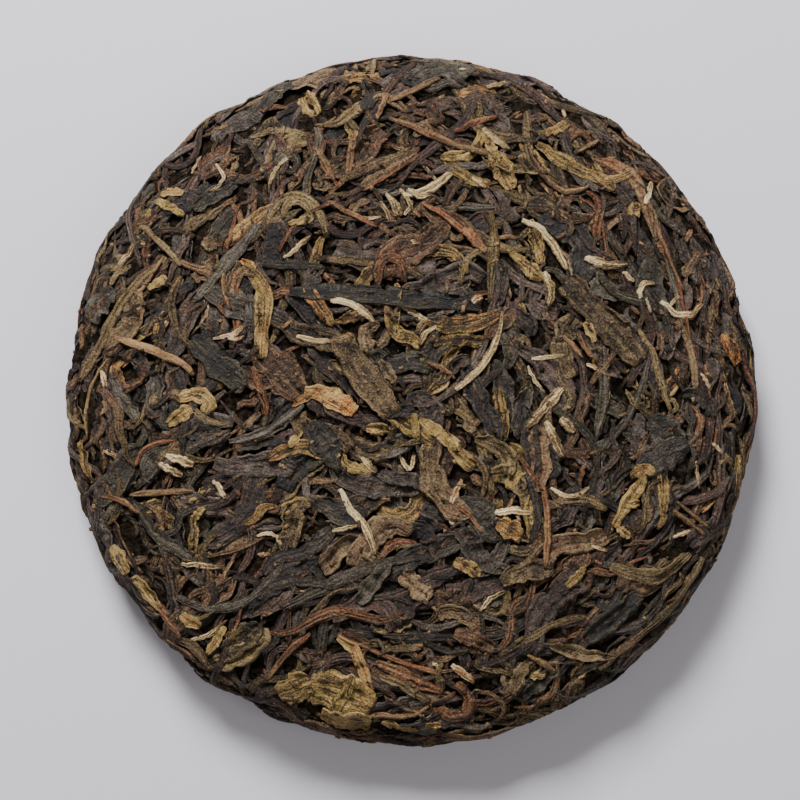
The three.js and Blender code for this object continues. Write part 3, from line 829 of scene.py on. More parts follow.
@dataclass
class Batch:
    """The pieces of one kind, from their middle lines to their places in the pile.

    Attributes:
        cut: The kind's measures.
        runs: How far along the outline each station is.
        at: Where each station lies on the two charts, in cells.
        side: The way to a piece's left on the charts, in cells a metre.
        level: How far each point of a ring lies to the left.
        up: How high it lies over what carries the piece.
        crest: How near it is to a crest or an edge.
        tone: How light each point is.
        seed: How warm a piece is, which sets its pattern apart too.
        length: How long a piece is.
        turn: When a piece is laid.
        base: The height of what carries each point.
        shown: The share of a piece that shows.
    """

    cut: Cut
    runs: np.ndarray
    at: np.ndarray
    side: np.ndarray
    level: np.ndarray
    up: np.ndarray
    crest: np.ndarray
    tone: np.ndarray
    seed: np.ndarray
    length: np.ndarray
    turn: np.ndarray
    base: np.ndarray = field(init=False)
    shown: np.ndarray = field(init=False)

    def __post_init__(self) -> None:
        """Makes room for what the pile finds out."""
        self.base = np.zeros_like(self.up)
        self.shown = np.zeros(len(self.up))


@dataclass
class Charts:
    """Two flat maps of the surface, one from the face's middle and one from the back's."""

    form: CakeForm
    cell: float = 0.35 * MM
    margin: float = 10.0 * MM
    axis_gap: float = 0.3 * MM
    half: int = field(init=False)
    turn: float = field(init=False)

    def __post_init__(self) -> None:
        """Works out the maps' size, and the line where one takes over from the other."""
        self.turn = self.form.reach[-1] / 2
        self.half = math.ceil((self.turn + self.margin) / self.cell) + 2

    def spots(self, places: np.ndarray, normals: np.ndarray, runs: np.ndarray,
              beside: np.ndarray) -> tuple[np.ndarray, np.ndarray]:
        """Where places lie on the charts, and how a step to one side moves there.

        Args:
            places: Places of the surface, in any shape that ends in three.
            normals: The outward normals there.
            runs: How far along the outline they are.
            beside: The way of the step at each place.

        Returns:
            The spots and the steps, each with an axis for the chart before the stations.
        """
        radius = np.maximum(np.hypot(places[..., 0], places[..., 1]), self.axis_gap)[..., None]
        out = places[..., :2] / radius
        around = np.stack([-out[..., 1], out[..., 0]], axis=-1)
        across = np.concatenate([around, np.zeros_like(radius)], axis=-1)
        onward = np.cross(across, normals)
        by_run = (beside * onward).sum(axis=-1, keepdims=True)
        by_turn = (beside * across).sum(axis=-1, keepdims=True)
        at, side = [], []
        for sign, rho in ((1.0, runs), (-1.0, self.form.reach[-1] - runs)):
            rho = rho[..., None]
            at.append(self.half + rho * out / self.cell)
            side.append((sign * by_run * out + by_turn * rho / radius * around) / self.cell)
        return np.stack(at, axis=-3), np.stack(side, axis=-3)

    def cells(self, spots: np.ndarray) -> np.ndarray:
        """The cells that spots lie in."""
        return np.clip((spots + 0.5).astype(int), 0, 2 * self.half - 1)

    def on_surface(self, spots: np.ndarray, back: np.ndarray) -> tuple[np.ndarray, np.ndarray]:
        """The places of the surface at spots of the charts.

        Args:
            spots: Spots in cells.
            back: Which of them are spots of the back's chart.

        Returns:
            The places and their outward normals.
        """
        flat = (spots - self.half) * self.cell
        rho = np.maximum(np.hypot(flat[..., 0], flat[..., 1]), 1e-7)
        out = flat / rho[..., None]
        run = np.where(back, self.form.reach[-1] - rho, rho)
        radius = np.interp(run, self.form.reach, self.form.outline[:, 0])[..., None]
        height = np.interp(run, self.form.reach, self.form.outline[:, 1])[..., None]
        slopes = np.gradient(self.form.outline, axis=0)
        ahead_out = np.interp(run, self.form.reach, slopes[:, 0])
        ahead_up = np.interp(run, self.form.reach, slopes[:, 1])
        size = np.hypot(ahead_out, ahead_up)[..., None]
        normals = np.concatenate([-out * ahead_up[..., None], ahead_out[..., None]], axis=-1) / size
        return np.concatenate([out * radius, height], axis=-1), normals

    def read(self, maps: np.ndarray, spots: np.ndarray, back: np.ndarray) -> np.ndarray:
        """The values of two maps at spots, blended between cells.

        Args:
            maps: The face's map and the back's.
            spots: Spots in cells.
            back: Which of them are spots of the back's chart.

        Returns:
            The values.
        """
        most = 2 * self.half - 2
        spots = np.clip(spots, 0, most)
        low = np.minimum(spots.astype(int), most - 1)
        share = spots - low
        chart = back.astype(int)
        x, y = low[..., 0], low[..., 1]
        sx, sy = share[..., 0], share[..., 1]
        near = maps[chart, y, x] * (1 - sx) + maps[chart, y, x + 1] * sx
        far = maps[chart, y + 1, x] * (1 - sx) + maps[chart, y + 1, x + 1] * sx
        return near * (1 - sy) + far * sy


def softened(maps: np.ndarray, reach: int, passes: int = 3) -> np.ndarray:
    """Maps with each value averaged with its neighbours.

    Args:
        maps: The maps, one a row of the first axis.
        reach: How many cells to each side are taken in.
        passes: How many times it is done.

    Returns:
        The softer maps.
    """
    size = 2 * reach + 1
    for _ in range(passes):
        for axis in (1, 2):
            pads = [(0, 0)] * 3
            pads[axis] = (reach + 1, reach)
            sums = np.cumsum(np.pad(maps, pads, mode="edge"), axis=axis)
            late = np.take(sums, range(size, sums.shape[axis]), axis=axis)
            early = np.take(sums, range(0, sums.shape[axis] - size), axis=axis)
            maps = (late - early) / size
    return maps


@dataclass
class Pile:
    """The heap of tea before the press: each piece lies on what was laid before it.

    A stiff piece evens out what carries it over a long way and a limp one over a short way. A
    point that lies no deeper than cover under the top still shows.
    """

    charts: Charts
    finer: int = 4
    across: int = 13
    stiff: float = 1.1 * MM
    limp: float = 0.45 * MM
    cover: float = 0.05 * MM
    maps: np.ndarray = field(init=False)

    def __post_init__(self) -> None:
        """Starts with nothing on the core."""
        size = 2 * self.charts.half
        self.maps = np.zeros((2, size, size))

    def between(self, cut: Cut) -> tuple[np.ndarray, np.ndarray, np.ndarray]:
        """What turns a piece's rings into a finer footprint, and the footprint back into rings.

        Args:
            cut: The kind's measures.

        Returns:
            The weights along a piece, across its upper side, and from across back to a ring.
        """
        ends = cut.stations - 1
        along = self.hats(np.linspace(0, ends, ends * self.finer + 1), cut.stations)
        ring = ring_across(cut)
        sides = np.linspace(-1.0, 1.0, self.across)
        columns = np.interp(sides, ring[: cut.top], np.arange(cut.top))
        back = self.hats(np.interp(ring, sides, np.arange(self.across)), self.across)
        return along, self.hats(columns, cut.top), back

    @staticmethod
    def hats(at: np.ndarray, count: int) -> np.ndarray:
        """The weights of count values at fractional indexes between them."""
        return np.maximum(0.0, 1.0 - np.abs(at[:, None] - np.arange(count)[None]))

    def lay(self, batch: Batch, index: int, weights: tuple) -> tuple[np.ndarray, np.ndarray, np.ndarray]:
        """Lays one piece on the pile.

        Args:
            batch: The kind that it belongs to.
            index: Which of them it is.
            weights: What between() gives for the kind.

        Returns:
            Its footprint's cells, the chart of each station, and its top's heights.
        """
        cut, charts = batch.cut, self.charts
        along, over, back = weights
        at, side = along @ batch.at[index], along @ batch.side[index]
        level = along @ batch.level[index][:, : cut.top] @ over.T
        cells = charts.cells(at[:, :, None] + side[:, :, None] * level[None, :, :, None])
        home = (along @ batch.runs[index] > charts.turn).astype(int)
        here = cells[home, np.arange(len(home))]
        under = self.maps[home[:, None], here[..., 1], here[..., 0]]

        spacing = batch.length[index] / (len(home) - 1)
        steps = np.arange(len(home))[:, None] - np.arange(len(home))[None]
        line, near = (np.exp(-0.5 * (steps * spacing / reach) ** 2) for reach in (self.stiff, self.limp))
        line /= line.sum(axis=1, keepdims=True)
        near /= near.sum(axis=1, keepdims=True)
        stiff = line @ (0.5 * under.mean(axis=1) + 0.5 * under.max(axis=1))
        limp = near @ under
        limp = 0.25 * np.roll(limp, 1, axis=1) + 0.5 * limp + 0.25 * np.roll(limp, -1, axis=1)
        limp[:, 0], limp[:, -1] = limp[:, 1], limp[:, -2]
        carried = (1 - cut.drape) * stiff[:, None] + cut.drape * limp
        top = carried + along @ batch.up[index][:, : cut.top] @ over.T
        for chart in (0, 1):
            x, y = cells[chart, ..., 0], cells[chart, ..., 1]
            self.maps[chart, y, x] = np.maximum(self.maps[chart, y, x], top)
        batch.base[index] = carried[:: self.finer] @ back.T
        return here, home, top

    def heap(self, batches: list[Batch]) -> None:
        """Lays every piece in its turn, and finds out how much of each still shows.

        Args:
            batches: The kinds.
        """
        order = [(turn, kind, n) for kind, batch in enumerate(batches) for n, turn in enumerate(batch.turn)]
        weights = [self.between(batch.cut) for batch in batches]
        laid = [(kind, n, self.lay(batches[kind], n, weights[kind])) for _, kind, n in sorted(order)]
        for kind, n, (here, home, top) in laid:
            final = self.maps[home[:, None], here[..., 1], here[..., 0]]
            batches[kind].shown[n] = (top > final - self.cover).mean()


@dataclass
class Press:
    """Presses the pile into the cake's form, with the order of the pieces kept.

    Pieces stand up by tight at the least, by loose at the most and by back_cap on the back. A
    pair is how far out looseness starts and where it is full. The shares are what the ring, the
    patches and the photograph's left side add to it.
    """

    charts: Charts
    pile: Pile
    sink: float = 1.3 * MM
    tight: float = 0.13 * MM
    loose: float = 0.4 * MM
    back_cap: float = 0.1 * MM
    back_share: float = 0.25
    ground: float = 0.02 * MM
    ring: Pair = (20 * MM, 46 * MM)
    rim: Pair = (48 * MM, 51.5 * MM)
    rim_grip: float = 0.55
    left: Pair = (10 * MM, 45 * MM)
    shares: tuple[float, float, float] = (0.55, 0.25, 0.2)
    mean: np.ndarray = field(init=False)
    close: np.ndarray = field(init=False)

    def __post_init__(self) -> None:
        """Finds the pile's mean height, over a wide reach and over a short one."""
        self.mean = softened(self.pile.maps, 9)
        self.close = softened(self.pile.maps, 2, 2)

    def looseness(self, places: np.ndarray) -> np.ndarray:
        """How loosely the tea lies, from 0 at the face's middle to 1 near the rim."""
        x, y = places[..., 0], places[..., 1]
        far = np.hypot(x, y)
        ring = eased(far, *self.ring) * (1.0 - self.rim_grip * eased(far, *self.rim))
        patches = 0.5 + 0.5 * np.sin(90 * x + 2.0) * np.sin(110 * y + 70 * x - 0.5)
        parts = (ring, patches, eased(-x, *self.left))
        return np.clip(sum(share * part for share, part in zip(self.shares, parts)), 0.0, 1.0)

    def settle(self, spots: np.ndarray, back: np.ndarray,
               heights: np.ndarray) -> tuple[np.ndarray, np.ndarray]:
        """Moves points of the pile to where the press leaves them.

        Args:
            spots: Where they lie on their charts.
            back: Which of them lie on the back's chart.
            heights: Their heights in the pile.

        Returns:
            The points, and how deep each lies under its surroundings, from 0 to 1.
        """
        places, normals = self.charts.on_surface(spots, back)
        over = heights - self.charts.read(self.mean, spots, back)
        under_side = places[..., 2] < self.back_share * self.charts.form.thickness
        cap = self.tight + (self.loose - self.tight) * self.looseness(places)
        cap = np.where(under_side, self.back_cap, cap)
        lift = cap * np.log1p(np.maximum(over, 0.0) / cap)
        lift -= self.sink * (1.0 - np.exp(np.minimum(over, 0.0) / self.sink))
        lift += self.charts.form.swell(places)
        points = places + normals * lift[..., None]
        points[..., 2] = np.maximum(points[..., 2], self.ground)
        # How deep a point lies under its neighbours; the leaf skin turns this into painted crevice shade.
        gap = self.charts.read(self.close, spots, back) - heights
        return points, np.clip(gap / self.sink, 0.0, 1.0)


def ring_across(cut: Cut) -> np.ndarray:
    """Where the points of a ring lie across a piece, from -1 to 1: the top, then the underside."""
    angle = np.linspace(0.0, math.pi, cut.top)
    top = 0.5 * (-np.cos(angle)) + 0.5 * np.linspace(-1.0, 1.0, cut.top)
    under = np.linspace(1.0, -1.0, cut.under + 2)[1:-1]
    return np.concatenate([top, under])


@dataclass
class Plan:
    """What is settled for each piece of a kind before it is rolled, a value a piece.

    The values mean what they do for a laid piece, a layer and a cut.
    """

    width: np.ndarray
    tone: np.ndarray
    hue: np.ndarray
    turn: np.ndarray
    grow: np.ndarray
    head: np.ndarray
    tail: np.ndarray

    @staticmethod
    def of_laid(pieces: tuple[Laid, ...]) -> "Plan":
        """The plan of pieces that are laid one by one."""
        values = [(piece.width * MM, piece.tone, piece.hue, LAID_TURN + piece.lift, piece.grow,
                   piece.sharp, piece.sharp) for piece in pieces]
        return Plan(*np.array(values, float).T)

    @staticmethod
    def of_strewn(cut: Cut, layer: Layer, size: np.ndarray, rng: np.random.Generator) -> "Plan":
        """The plan of a layer of strewn pieces.

        Args:
            cut: The kind's measures.
            layer: The layer.
            size: How long each piece is within its kind, from 0 to 1.
            rng: The source of what the pieces draw.

        Returns:
            The plan.
        """
        count = len(size)
        grown = np.clip(0.6 * size + 0.4 * rng.uniform(0, 1, count), 0, 1)
        width = (cut.width[0] + grown * (cut.width[1] - cut.width[0])) * MM
        return Plan(width, rng.uniform(*layer.tone, count), rng.uniform(0.0, cut.warmest, count),
                    rng.uniform(*layer.turn, count), rng.uniform(-0.6, 0.6, count),
                    rng.uniform(*cut.head, count), rng.uniform(*cut.tail, count))


@dataclass
class Roller:
    """Gives rolled or flat sections to the pieces of a kind."""

    cut: Cut
    count: int
    rng: np.random.Generator

    def draw(self, low: float, high: float) -> np.ndarray:
        """One value a piece, in a shape that spreads over its rings."""
        return self.rng.uniform(low, high, self.count).reshape(-1, 1, 1)

    def waves(self, along: np.ndarray, low: float, high: float) -> np.ndarray:
        """A smooth uneven line along each piece, mostly within one of 0."""
        first = np.sin(2 * math.pi * (along * self.draw(low, high) + self.draw(0, 1)))
        second = np.sin(2 * math.pi * (along * self.draw(1.6 * low, 1.8 * high) + self.draw(0, 1)))
        return 0.65 * first + 0.35 * second

    def side(self, along: np.ndarray) -> np.ndarray:
        """How far out one edge of each piece lies, uneven and a little torn."""
        torn = self.rng.normal(0.0, 0.3 * self.cut.ragged, (self.count, self.cut.stations, 1))
        return 1.0 + self.cut.ragged * self.waves(along, 1.2, 3.2) + torn

    def crinkles(self, run: np.ndarray, level: np.ndarray) -> np.ndarray:
        """Sharp creases that run over a leaf in three directions of its own."""
        creases = 0.0
        for _ in range(3):
            way, pitch = self.draw(0.0, math.pi), self.draw(1.5, 3.2) * MM
            rows = (run * np.cos(way) + level * np.sin(way)) / pitch + self.draw(0, 1)
            creases = creases + np.abs(np.sin(math.pi * rows)) - 0.6
        return creases

    def sections(self, plan: Plan, length: np.ndarray) -> tuple[np.ndarray, np.ndarray, np.ndarray]:
        """Shapes the rings.

        Args:
            plan: What is settled for each piece.
            length: The length of each piece.

        Returns:
            How far each point lies to the left, how high, and how near to a crest or an edge.
        """
        cut = self.cut
        settled = (plan.width, plan.grow, plan.head, plan.tail)
        width, grow, head, tail = (part.reshape(-1, 1, 1) for part in settled)
        along = np.linspace(0.0, 1.0, cut.stations).reshape(1, -1, 1)
        across = ring_across(cut).reshape(1, 1, -1)
        top = (np.arange(across.size) < cut.top).reshape(1, 1, -1)

        lean = self.draw(-0.18, 0.18)
        bulge = np.clip(along + lean * np.sin(math.pi * along), 0.0, 1.0)
        outline = np.clip(np.sin(math.pi * (0.03 + 0.94 * bulge)), 0.02, 1.0)
        outline = outline ** np.where(bulge < 0.5, head, tail)
        half = 0.5 * width * outline * (1.0 + grow * (along - 0.5))
        level = half * across * np.where(across > 0, self.side(along), self.side(along))

        drift = self.draw(-cut.twist, cut.twist) * along + 0.12 * self.waves(along, 1.0, 2.4)
        folds = self.draw(*cut.folds)
        ridge = np.abs(np.sin(math.pi * (folds * (across + 1) / 2 + drift + self.draw(0, 1)))) ** 0.7
        thick = self.draw(*cut.thick) * width
        swollen = 1.0 + 0.18 * self.waves(along, 1.5, 3.5)
        if cut.sheet:
            rib = np.abs(np.sin(math.pi * (folds * (across + 1) / 2 + 0.3 * drift + self.draw(0, 1))))
            crinkled = self.crinkles(along * length.reshape(-1, 1, 1), level)
            crumple = (rib**0.6 - 0.6) + 0.4 * crinkled + 0.5 * self.waves(along, 1.5, 4.0) * across
            keel = -self.draw(0.0, 1.6) * (1.0 - np.abs(across)) ** 2
            curl = self.draw(-0.3, 1.6) * np.abs(across) ** 3 + self.draw(-0.6, 0.6) * across
            height = cut.wrinkle * MM * (1.2 * crumple + keel + curl) * np.minimum(1.0, 1.4 * outline)
            shell = np.maximum(thick, 0.16 * MM) * np.sqrt(1.0 - np.abs(across) ** 5) * outline**0.3
            under = height[..., : cut.top].min(axis=2, keepdims=True)
            up = np.where(top, height + shell, under) + 0.12 * MM
            crest = np.clip(0.5 * rib + 0.3 * (crinkled + 0.6) + 0.5 * np.abs(across) ** 4, 0.0, 1.0)
        else:
            dome = (1.0 - np.abs(across) ** 2.8) ** 0.55
            body = thick * outline**0.4 * dome * swollen * (1.0 - cut.fold_depth * (1.0 - ridge))
            wrinkle = cut.wrinkle * MM * self.waves(along + 0.08 * across, 4.0, 8.0) * dome * outline
            over = body + wrinkle
            under = over[..., : cut.top].min(axis=2, keepdims=True)
            up = np.where(top, over, under - 0.15 * thick * outline)
            crest = ridge * (1.0 - 0.6 * np.abs(across) ** 5) * np.ones_like(up)
        up = up + level * np.tan(self.draw(-cut.tilt, cut.tilt) + 0.1 * self.waves(along, 0.5, 1.2))
        return level, up, crest * np.ones_like(up)


@dataclass
class Paths:
    """The middle lines of some pieces: places, outward normals and runs, by piece and station."""

    places: np.ndarray
    normals: np.ndarray
    runs: np.ndarray


@dataclass
class Walker:
    """Lays middle lines on the pressed surface."""

    form: CakeForm
    view: PhotoView
    flow: Flow
    traced: int = 40
    rounding: int = 24

    def strewn(self, cut: Cut, middles: np.ndarray, lengths: np.ndarray,
               rng: np.random.Generator) -> Paths:
        """Middle lines that creep both ways from their middles.

        Args:
            cut: The kind's measures.
            middles: The middle of each piece, one a row.
            lengths: The length of each piece.
            rng: The source of bends and headings.

        Returns:
            The middle lines.
        """
        count = len(middles)
        heading = self.flow.headings(middles, rng)
        bend = rng.normal(0.0, 0.8 * cut.bend, count)
        sway = rng.uniform(0.0, 0.5 * cut.bend, count)
        phase = rng.uniform(0.0, 2 * math.pi, count)
        steps = cut.stations - 1
        back_steps = steps // 2
        start = self.form.nearest(middles)
        halves = []
        for sign, number in ((-1.0, back_steps), (1.0, steps - back_steps)):
            place, out, _ = start
            trail = []
            for step in range(number):
                share = sign * (step + 0.5) / steps
                turn = heading + bend * share + sway * np.sin(2 * math.pi * share + phase)
                around = unit(np.stack([-place[:, 1], place[:, 0], 0 * place[:, 0]], axis=1))
                ahead = around * np.cos(turn)[:, None] + np.cross(out, around) * np.sin(turn)[:, None]
                spot = self.form.nearest(place + ahead * (sign * lengths / steps)[:, None])
                place, out, _ = spot
                trail.append(spot)
            halves.append(trail)
        ordered = halves[0][::-1] + [start] + halves[1]
        return Paths(*(np.stack([spot[part] for spot in ordered], axis=1) for part in range(3)))

    def laid(self, cut: Cut, pieces: tuple[Laid, ...]) -> Paths:
        """Middle lines through the pixels of pieces that are laid one by one.

        Args:
            cut: The kind's measures.
            pieces: The pieces, all of one kind.

        Returns:
            The middle lines.
        """
        rows = []
        for piece in pieces:
            smooth = evenly(np.array(piece.through, float), self.traced)
            for _ in range(self.rounding):
                smooth[1:-1] += 0.25 * (smooth[:-2] + smooth[2:] - 2 * smooth[1:-1])
            rows.append(self.view.on_face(evenly(smooth, cut.stations)))
        found = self.form.nearest(np.concatenate(rows))
        return Paths(*(part.reshape(len(pieces), cut.stations, *part.shape[1:]) for part in found))


@dataclass
class MeshData:
    """The arrays of one joined mesh."""

    points: np.ndarray
    corners: np.ndarray
    sizes: np.ndarray
    uv: np.ndarray
    marks: np.ndarray

    def build(self, name: str) -> bpy.types.Object:
        """Makes the object.

        Args:
            name: Its name.

        Returns:
            The object, at the origin, smooth and with its map and marks.
        """
        mesh = bpy.data.meshes.new(name)
        mesh.vertices.add(len(self.points))
        mesh.vertices.foreach_set("co", self.points.astype(np.float32).ravel())
        mesh.loops.add(len(self.corners))
        mesh.loops.foreach_set("vertex_index", self.corners.astype(np.int32))
        mesh.polygons.add(len(self.sizes))
        starts = np.concatenate([[0], np.cumsum(self.sizes)[:-1]])
        mesh.polygons.foreach_set("loop_start", starts.astype(np.int32))
        mesh.polygons.foreach_set("use_smooth", np.ones(len(self.sizes), bool))
        layer = mesh.uv_layers.new(name="Leaf")
        layer.uv.foreach_set("vector", self.uv.astype(np.float32).ravel())
        marks = mesh.attributes.new(name="tea", type="FLOAT_COLOR", domain="POINT")
        marks.data.foreach_set("color", self.marks.astype(np.float32).ravel())
        mesh.update(calc_edges=True)
        mesh.validate()
        item = bpy.data.objects.new(name, mesh)
        bpy.context.scene.collection.objects.link(item)
        return item


# The length of leaf that one unit of its map covers
MAP_LENGTH = 10 * MM


def tubes(points: np.ndarray, marks: np.ndarray, lengths: np.ndarray) -> MeshData:
    """Joins rings of points into closed tubes.

    Args:
        points: Points by piece, station and place in the ring.
        marks: The marks of the same points.
        lengths: The length of each piece, for its map.

    Returns:
        The joined mesh's arrays.
    """
    count, stations, sides = points.shape[:3]
    index = np.arange(count * stations * sides).reshape(count, stations, sides)
    near, far = index[:, :-1], index[:, 1:]
    following = np.roll(np.arange(sides), -1)
    quads = np.stack([near, near[..., following], far[..., following], far], axis=-1)
    caps = np.stack([index[:, 0, ::-1], index[:, -1, :]], axis=1)
    corners = np.concatenate([quads.reshape(-1), caps.reshape(-1)])
    sizes = np.concatenate([np.full(quads.size // 4, 4), np.full(2 * count, sides)])

    u = np.linspace(0.0, 1.0, stations)[None, :, None] * (lengths / MAP_LENGTH)[:, None, None]
    v = np.broadcast_to(np.arange(sides) / sides, index.shape)
    uv = np.stack([np.broadcast_to(u, index.shape).reshape(-1)[corners], v.reshape(-1)[corners]], axis=1)
    quad_v = uv[: quads.size, 1].reshape(-1, 4)
    uv[: quads.size, 1] = (quad_v[:, [0, 0, 3, 3]] + np.array([0, 1, 1, 0]) / sides).reshape(-1)
    return MeshData(points.reshape(-1, 3), corners, sizes, uv, marks.reshape(-1, 4))


class Nodes:
    """Places and links the nodes of one shader tree."""

    def __init__(self, tree: bpy.types.NodeTree) -> None:
        """Starts on an empty tree."""
        self.tree = tree
        tree.nodes.clear()

    def add(self, kind: str, settings: dict | None = None, **inputs: object) -> bpy.types.Node:
        """Adds a node.

        Args:
            kind: The node's type.
            settings: Properties of the node.
            inputs: Values or sockets for its inputs, by name with underscores for spaces.

        Returns:
            The node.
        """
        node = self.tree.nodes.new(kind)
        for key, value in (settings or {}).items():
            setattr(node, key, value)
        for key, value in inputs.items():
            self.feed(node.inputs[key.replace("_", " ")], value)
        return node

    def feed(self, socket: bpy.types.NodeSocket, value: object) -> None:
        """Links a socket to an input, or sets the input's value."""
        if isinstance(value, bpy.types.NodeSocket):
            self.tree.links.new(value, socket)
        else:
            socket.default_value = value

    def math(self, operation: str, a: object, b: object = 0.0, clamp: bool = False) -> bpy.types.NodeSocket:
        """The result of a sum of two values."""
        node = self.add("ShaderNodeMath", {"operation": operation, "use_clamp": clamp})
        self.feed(node.inputs[0], a)
        self.feed(node.inputs[1], b)
        return node.outputs[0]

    def total(self, *values: object) -> bpy.types.NodeSocket:
        """The values added up."""
        first, *others = values
        for value in others:
            first = self.math("ADD", first, value)
        return first

    def swayed(self, pattern: object, strength: object) -> bpy.types.NodeSocket:
        """A pattern about 0.5 as a sway about 0."""
        return self.math("MULTIPLY", self.math("SUBTRACT", pattern, 0.5), strength)

    def surface(self, colour: object, roughness: object, height: object, depth: float, gloss: float) -> None:
        """Ends a material with a bumpy shader.

        Args:
            colour: Its colour.
            roughness: Its roughness.
            height: The height of its fine relief, from 0 to 1.
            depth: How deep that relief is.
            gloss: The strength of its plain gloss.
        """
        bump = self.add("ShaderNodeBump", Height=height, Strength=1.0, Distance=depth)
        shader = self.add("ShaderNodeBsdfPrincipled", Base_Color=colour, Roughness=roughness,
                          Normal=bump.outputs[0])
        shader.inputs["Specular IOR Level"].default_value = gloss
        self.add("ShaderNodeOutputMaterial", Surface=shader.outputs[0])

    def ranged(self, value: object, low: float, high: float, to_low: float,
               to_high: float) -> bpy.types.NodeSocket:
        """A value moved from one range to another, held inside it."""
        node = self.add("ShaderNodeMapRange", {"clamp": True})
        for socket, number in zip(node.inputs, (value, low, high, to_low, to_high)):
            self.feed(socket, number)
        return node.outputs[0]

    def mixed(self, share: object, a: object, b: object, blend: str = "MIX") -> bpy.types.NodeSocket:
        """Two colours mixed."""
        node = self.add("ShaderNodeMix", {"data_type": "RGBA", "blend_type": blend, "clamp_factor": True})
        self.feed(node.inputs[0], share)
        self.feed(node.inputs[6], a)
        self.feed(node.inputs[7], b)
        return node.outputs[2]

    def noise(self, vector: object, scale: float, detail: float = 3.0,
              rough: float = 0.55) -> bpy.types.NodeSocket:
        """A noise value from 0 to 1."""
        node = self.add("ShaderNodeTexNoise", Vector=vector, Scale=scale, Detail=detail, Roughness=rough)
        return node.outputs["Fac"]


def leaf_group() -> bpy.types.NodeTree:
    """Builds the shader group of the dried leaf skin: fibres, mottles, down, creases, painted crest
    highlights and painted crevice shade.

    Returns:
        The group, with outputs for colour, roughness and height.
    """
    tree = bpy.data.node_groups.new("Dried leaf skin", "ShaderNodeTree")
    nodes = Nodes(tree)
    for name in ("Deep", "Body", "Gold", "Warm", "Light"):
        tree.interface.new_socket(name=name, in_out="INPUT", socket_type="NodeSocketColor")
    for name in ("Fibre", "Mottle", "Down", "Crest", "Sheen"):
        tree.interface.new_socket(name=name, in_out="INPUT", socket_type="NodeSocketFloat")
    tree.interface.new_socket(name="Colour", in_out="OUTPUT", socket_type="NodeSocketColor")
    for name in ("Roughness", "Height"):
        tree.interface.new_socket(name=name, in_out="OUTPUT", socket_type="NodeSocketFloat")
    given = nodes.add("NodeGroupInput").outputs
    marks = nodes.add("ShaderNodeAttribute", {"attribute_name": "tea"})
    parts = nodes.add("ShaderNodeSeparateXYZ", Vector=marks.outputs["Vector"]).outputs
    # deep drives the painted crevice shade below, and crest drives the painted highlight on the crests.
    tone, deep, crest, seed = parts[0], parts[1], parts[2], marks.outputs["Alpha"]
    uv = nodes.add("ShaderNodeUVMap", {"uv_map": "Leaf"}).outputs[0]
    flat = nodes.add("ShaderNodeSeparateXYZ", Vector=uv).outputs
    place = nodes.add("ShaderNodeTexCoord").outputs["Object"]

    own = nodes.math("MULTIPLY", seed, 37.0)
    streaks = []
    for along, around in ((3.0, 19.0), (14.0, 7.0)):
        at = nodes.add("ShaderNodeCombineXYZ", X=nodes.math("MULTIPLY", flat[0], along),
                       Y=nodes.math("MULTIPLY", flat[1], around), Z=own).outputs[0]
        streaks.append(nodes.noise(at, 1.0, 4.0, 0.65))
    fibres, creases = streaks
    veins = nodes.add("ShaderNodeTexNoise", {"noise_type": "RIDGED_MULTIFRACTAL", "normalize": True},
                      Vector=place, Scale=900.0, Detail=3.0, Roughness=0.5, Distortion=0.6).outputs["Fac"]
    mottles = nodes.noise(place, 480.0, 4.0, 0.6)
    grains = nodes.noise(place, 3800.0, 3.0, 0.75)
    specks = nodes.noise(place, 2900.0, 4.0, 0.8)
    zones = nodes.noise(place, 80.0, 2.0, 0.5)

    shade = nodes.math("ADD", tone, 0.08)
    # Painted highlight and shade: the crest mark lightens the crests towards the light tone and darkens the
    # folds between; on flat leaves it also lightens the edges, partly their own colour and partly painted
    # highlight.
    for pattern, strength, reach in ((fibres, given["Fibre"], 2.6), (mottles, given["Mottle"], 2.4),
                                     (veins, given["Mottle"], 1.2), (grains, given["Down"], 3.2),
                                     (crest, given["Crest"], 1.1)):
        shade = nodes.total(shade, nodes.swayed(pattern, nodes.math("MULTIPLY", strength, reach)))
    hue = nodes.total(seed, nodes.swayed(creases, 1.3), nodes.swayed(specks, 5.0), nodes.swayed(zones, 1.6))
    body = nodes.mixed(nodes.ranged(hue, 0.3, -0.2, 0.0, 1.0), given["Body"], given["Gold"])
    body = nodes.mixed(nodes.ranged(hue, 0.4, 0.95, 0.0, 1.0), body, given["Warm"])
    low = nodes.mixed(nodes.ranged(shade, -0.1, 0.5, 0.0, 1.0), given["Deep"], body)
    light = nodes.mixed(0.3, given["Light"], body)
    skin = nodes.mixed(nodes.ranged(shade, 0.5, 1.35, 0.0, 1.0), low, light)
    # Painted shade: points that lie deep under their neighbours are darkened, down to 0.3 of their colour,
    # in place of the shade in the crevices between pieces.
    cave = nodes.ranged(deep, 0.1, 0.7, 1.0, 0.3)
    shadow = nodes.add("ShaderNodeCombineColor", Red=cave, Green=cave, Blue=cave).outputs[0]
    skin = nodes.mixed(1.0, skin, shadow, "MULTIPLY")

    dull = nodes.total(nodes.ranged(creases, 0.2, 0.8, 0.14, -0.12),
                       nodes.ranged(grains, 0.2, 0.8, 0.1, -0.1), 0.8)
    roughness = nodes.math("SUBTRACT", dull, nodes.math("MULTIPLY", given["Sheen"], 0.35), True)
    height = nodes.total(*(nodes.math("MULTIPLY", pattern, share) for pattern, share in
                           ((fibres, 0.7), (creases, 0.7), (grains, 0.35), (veins, 0.8))))
    nodes.add("NodeGroupOutput", Colour=skin, Roughness=roughness, Height=height)
    return tree


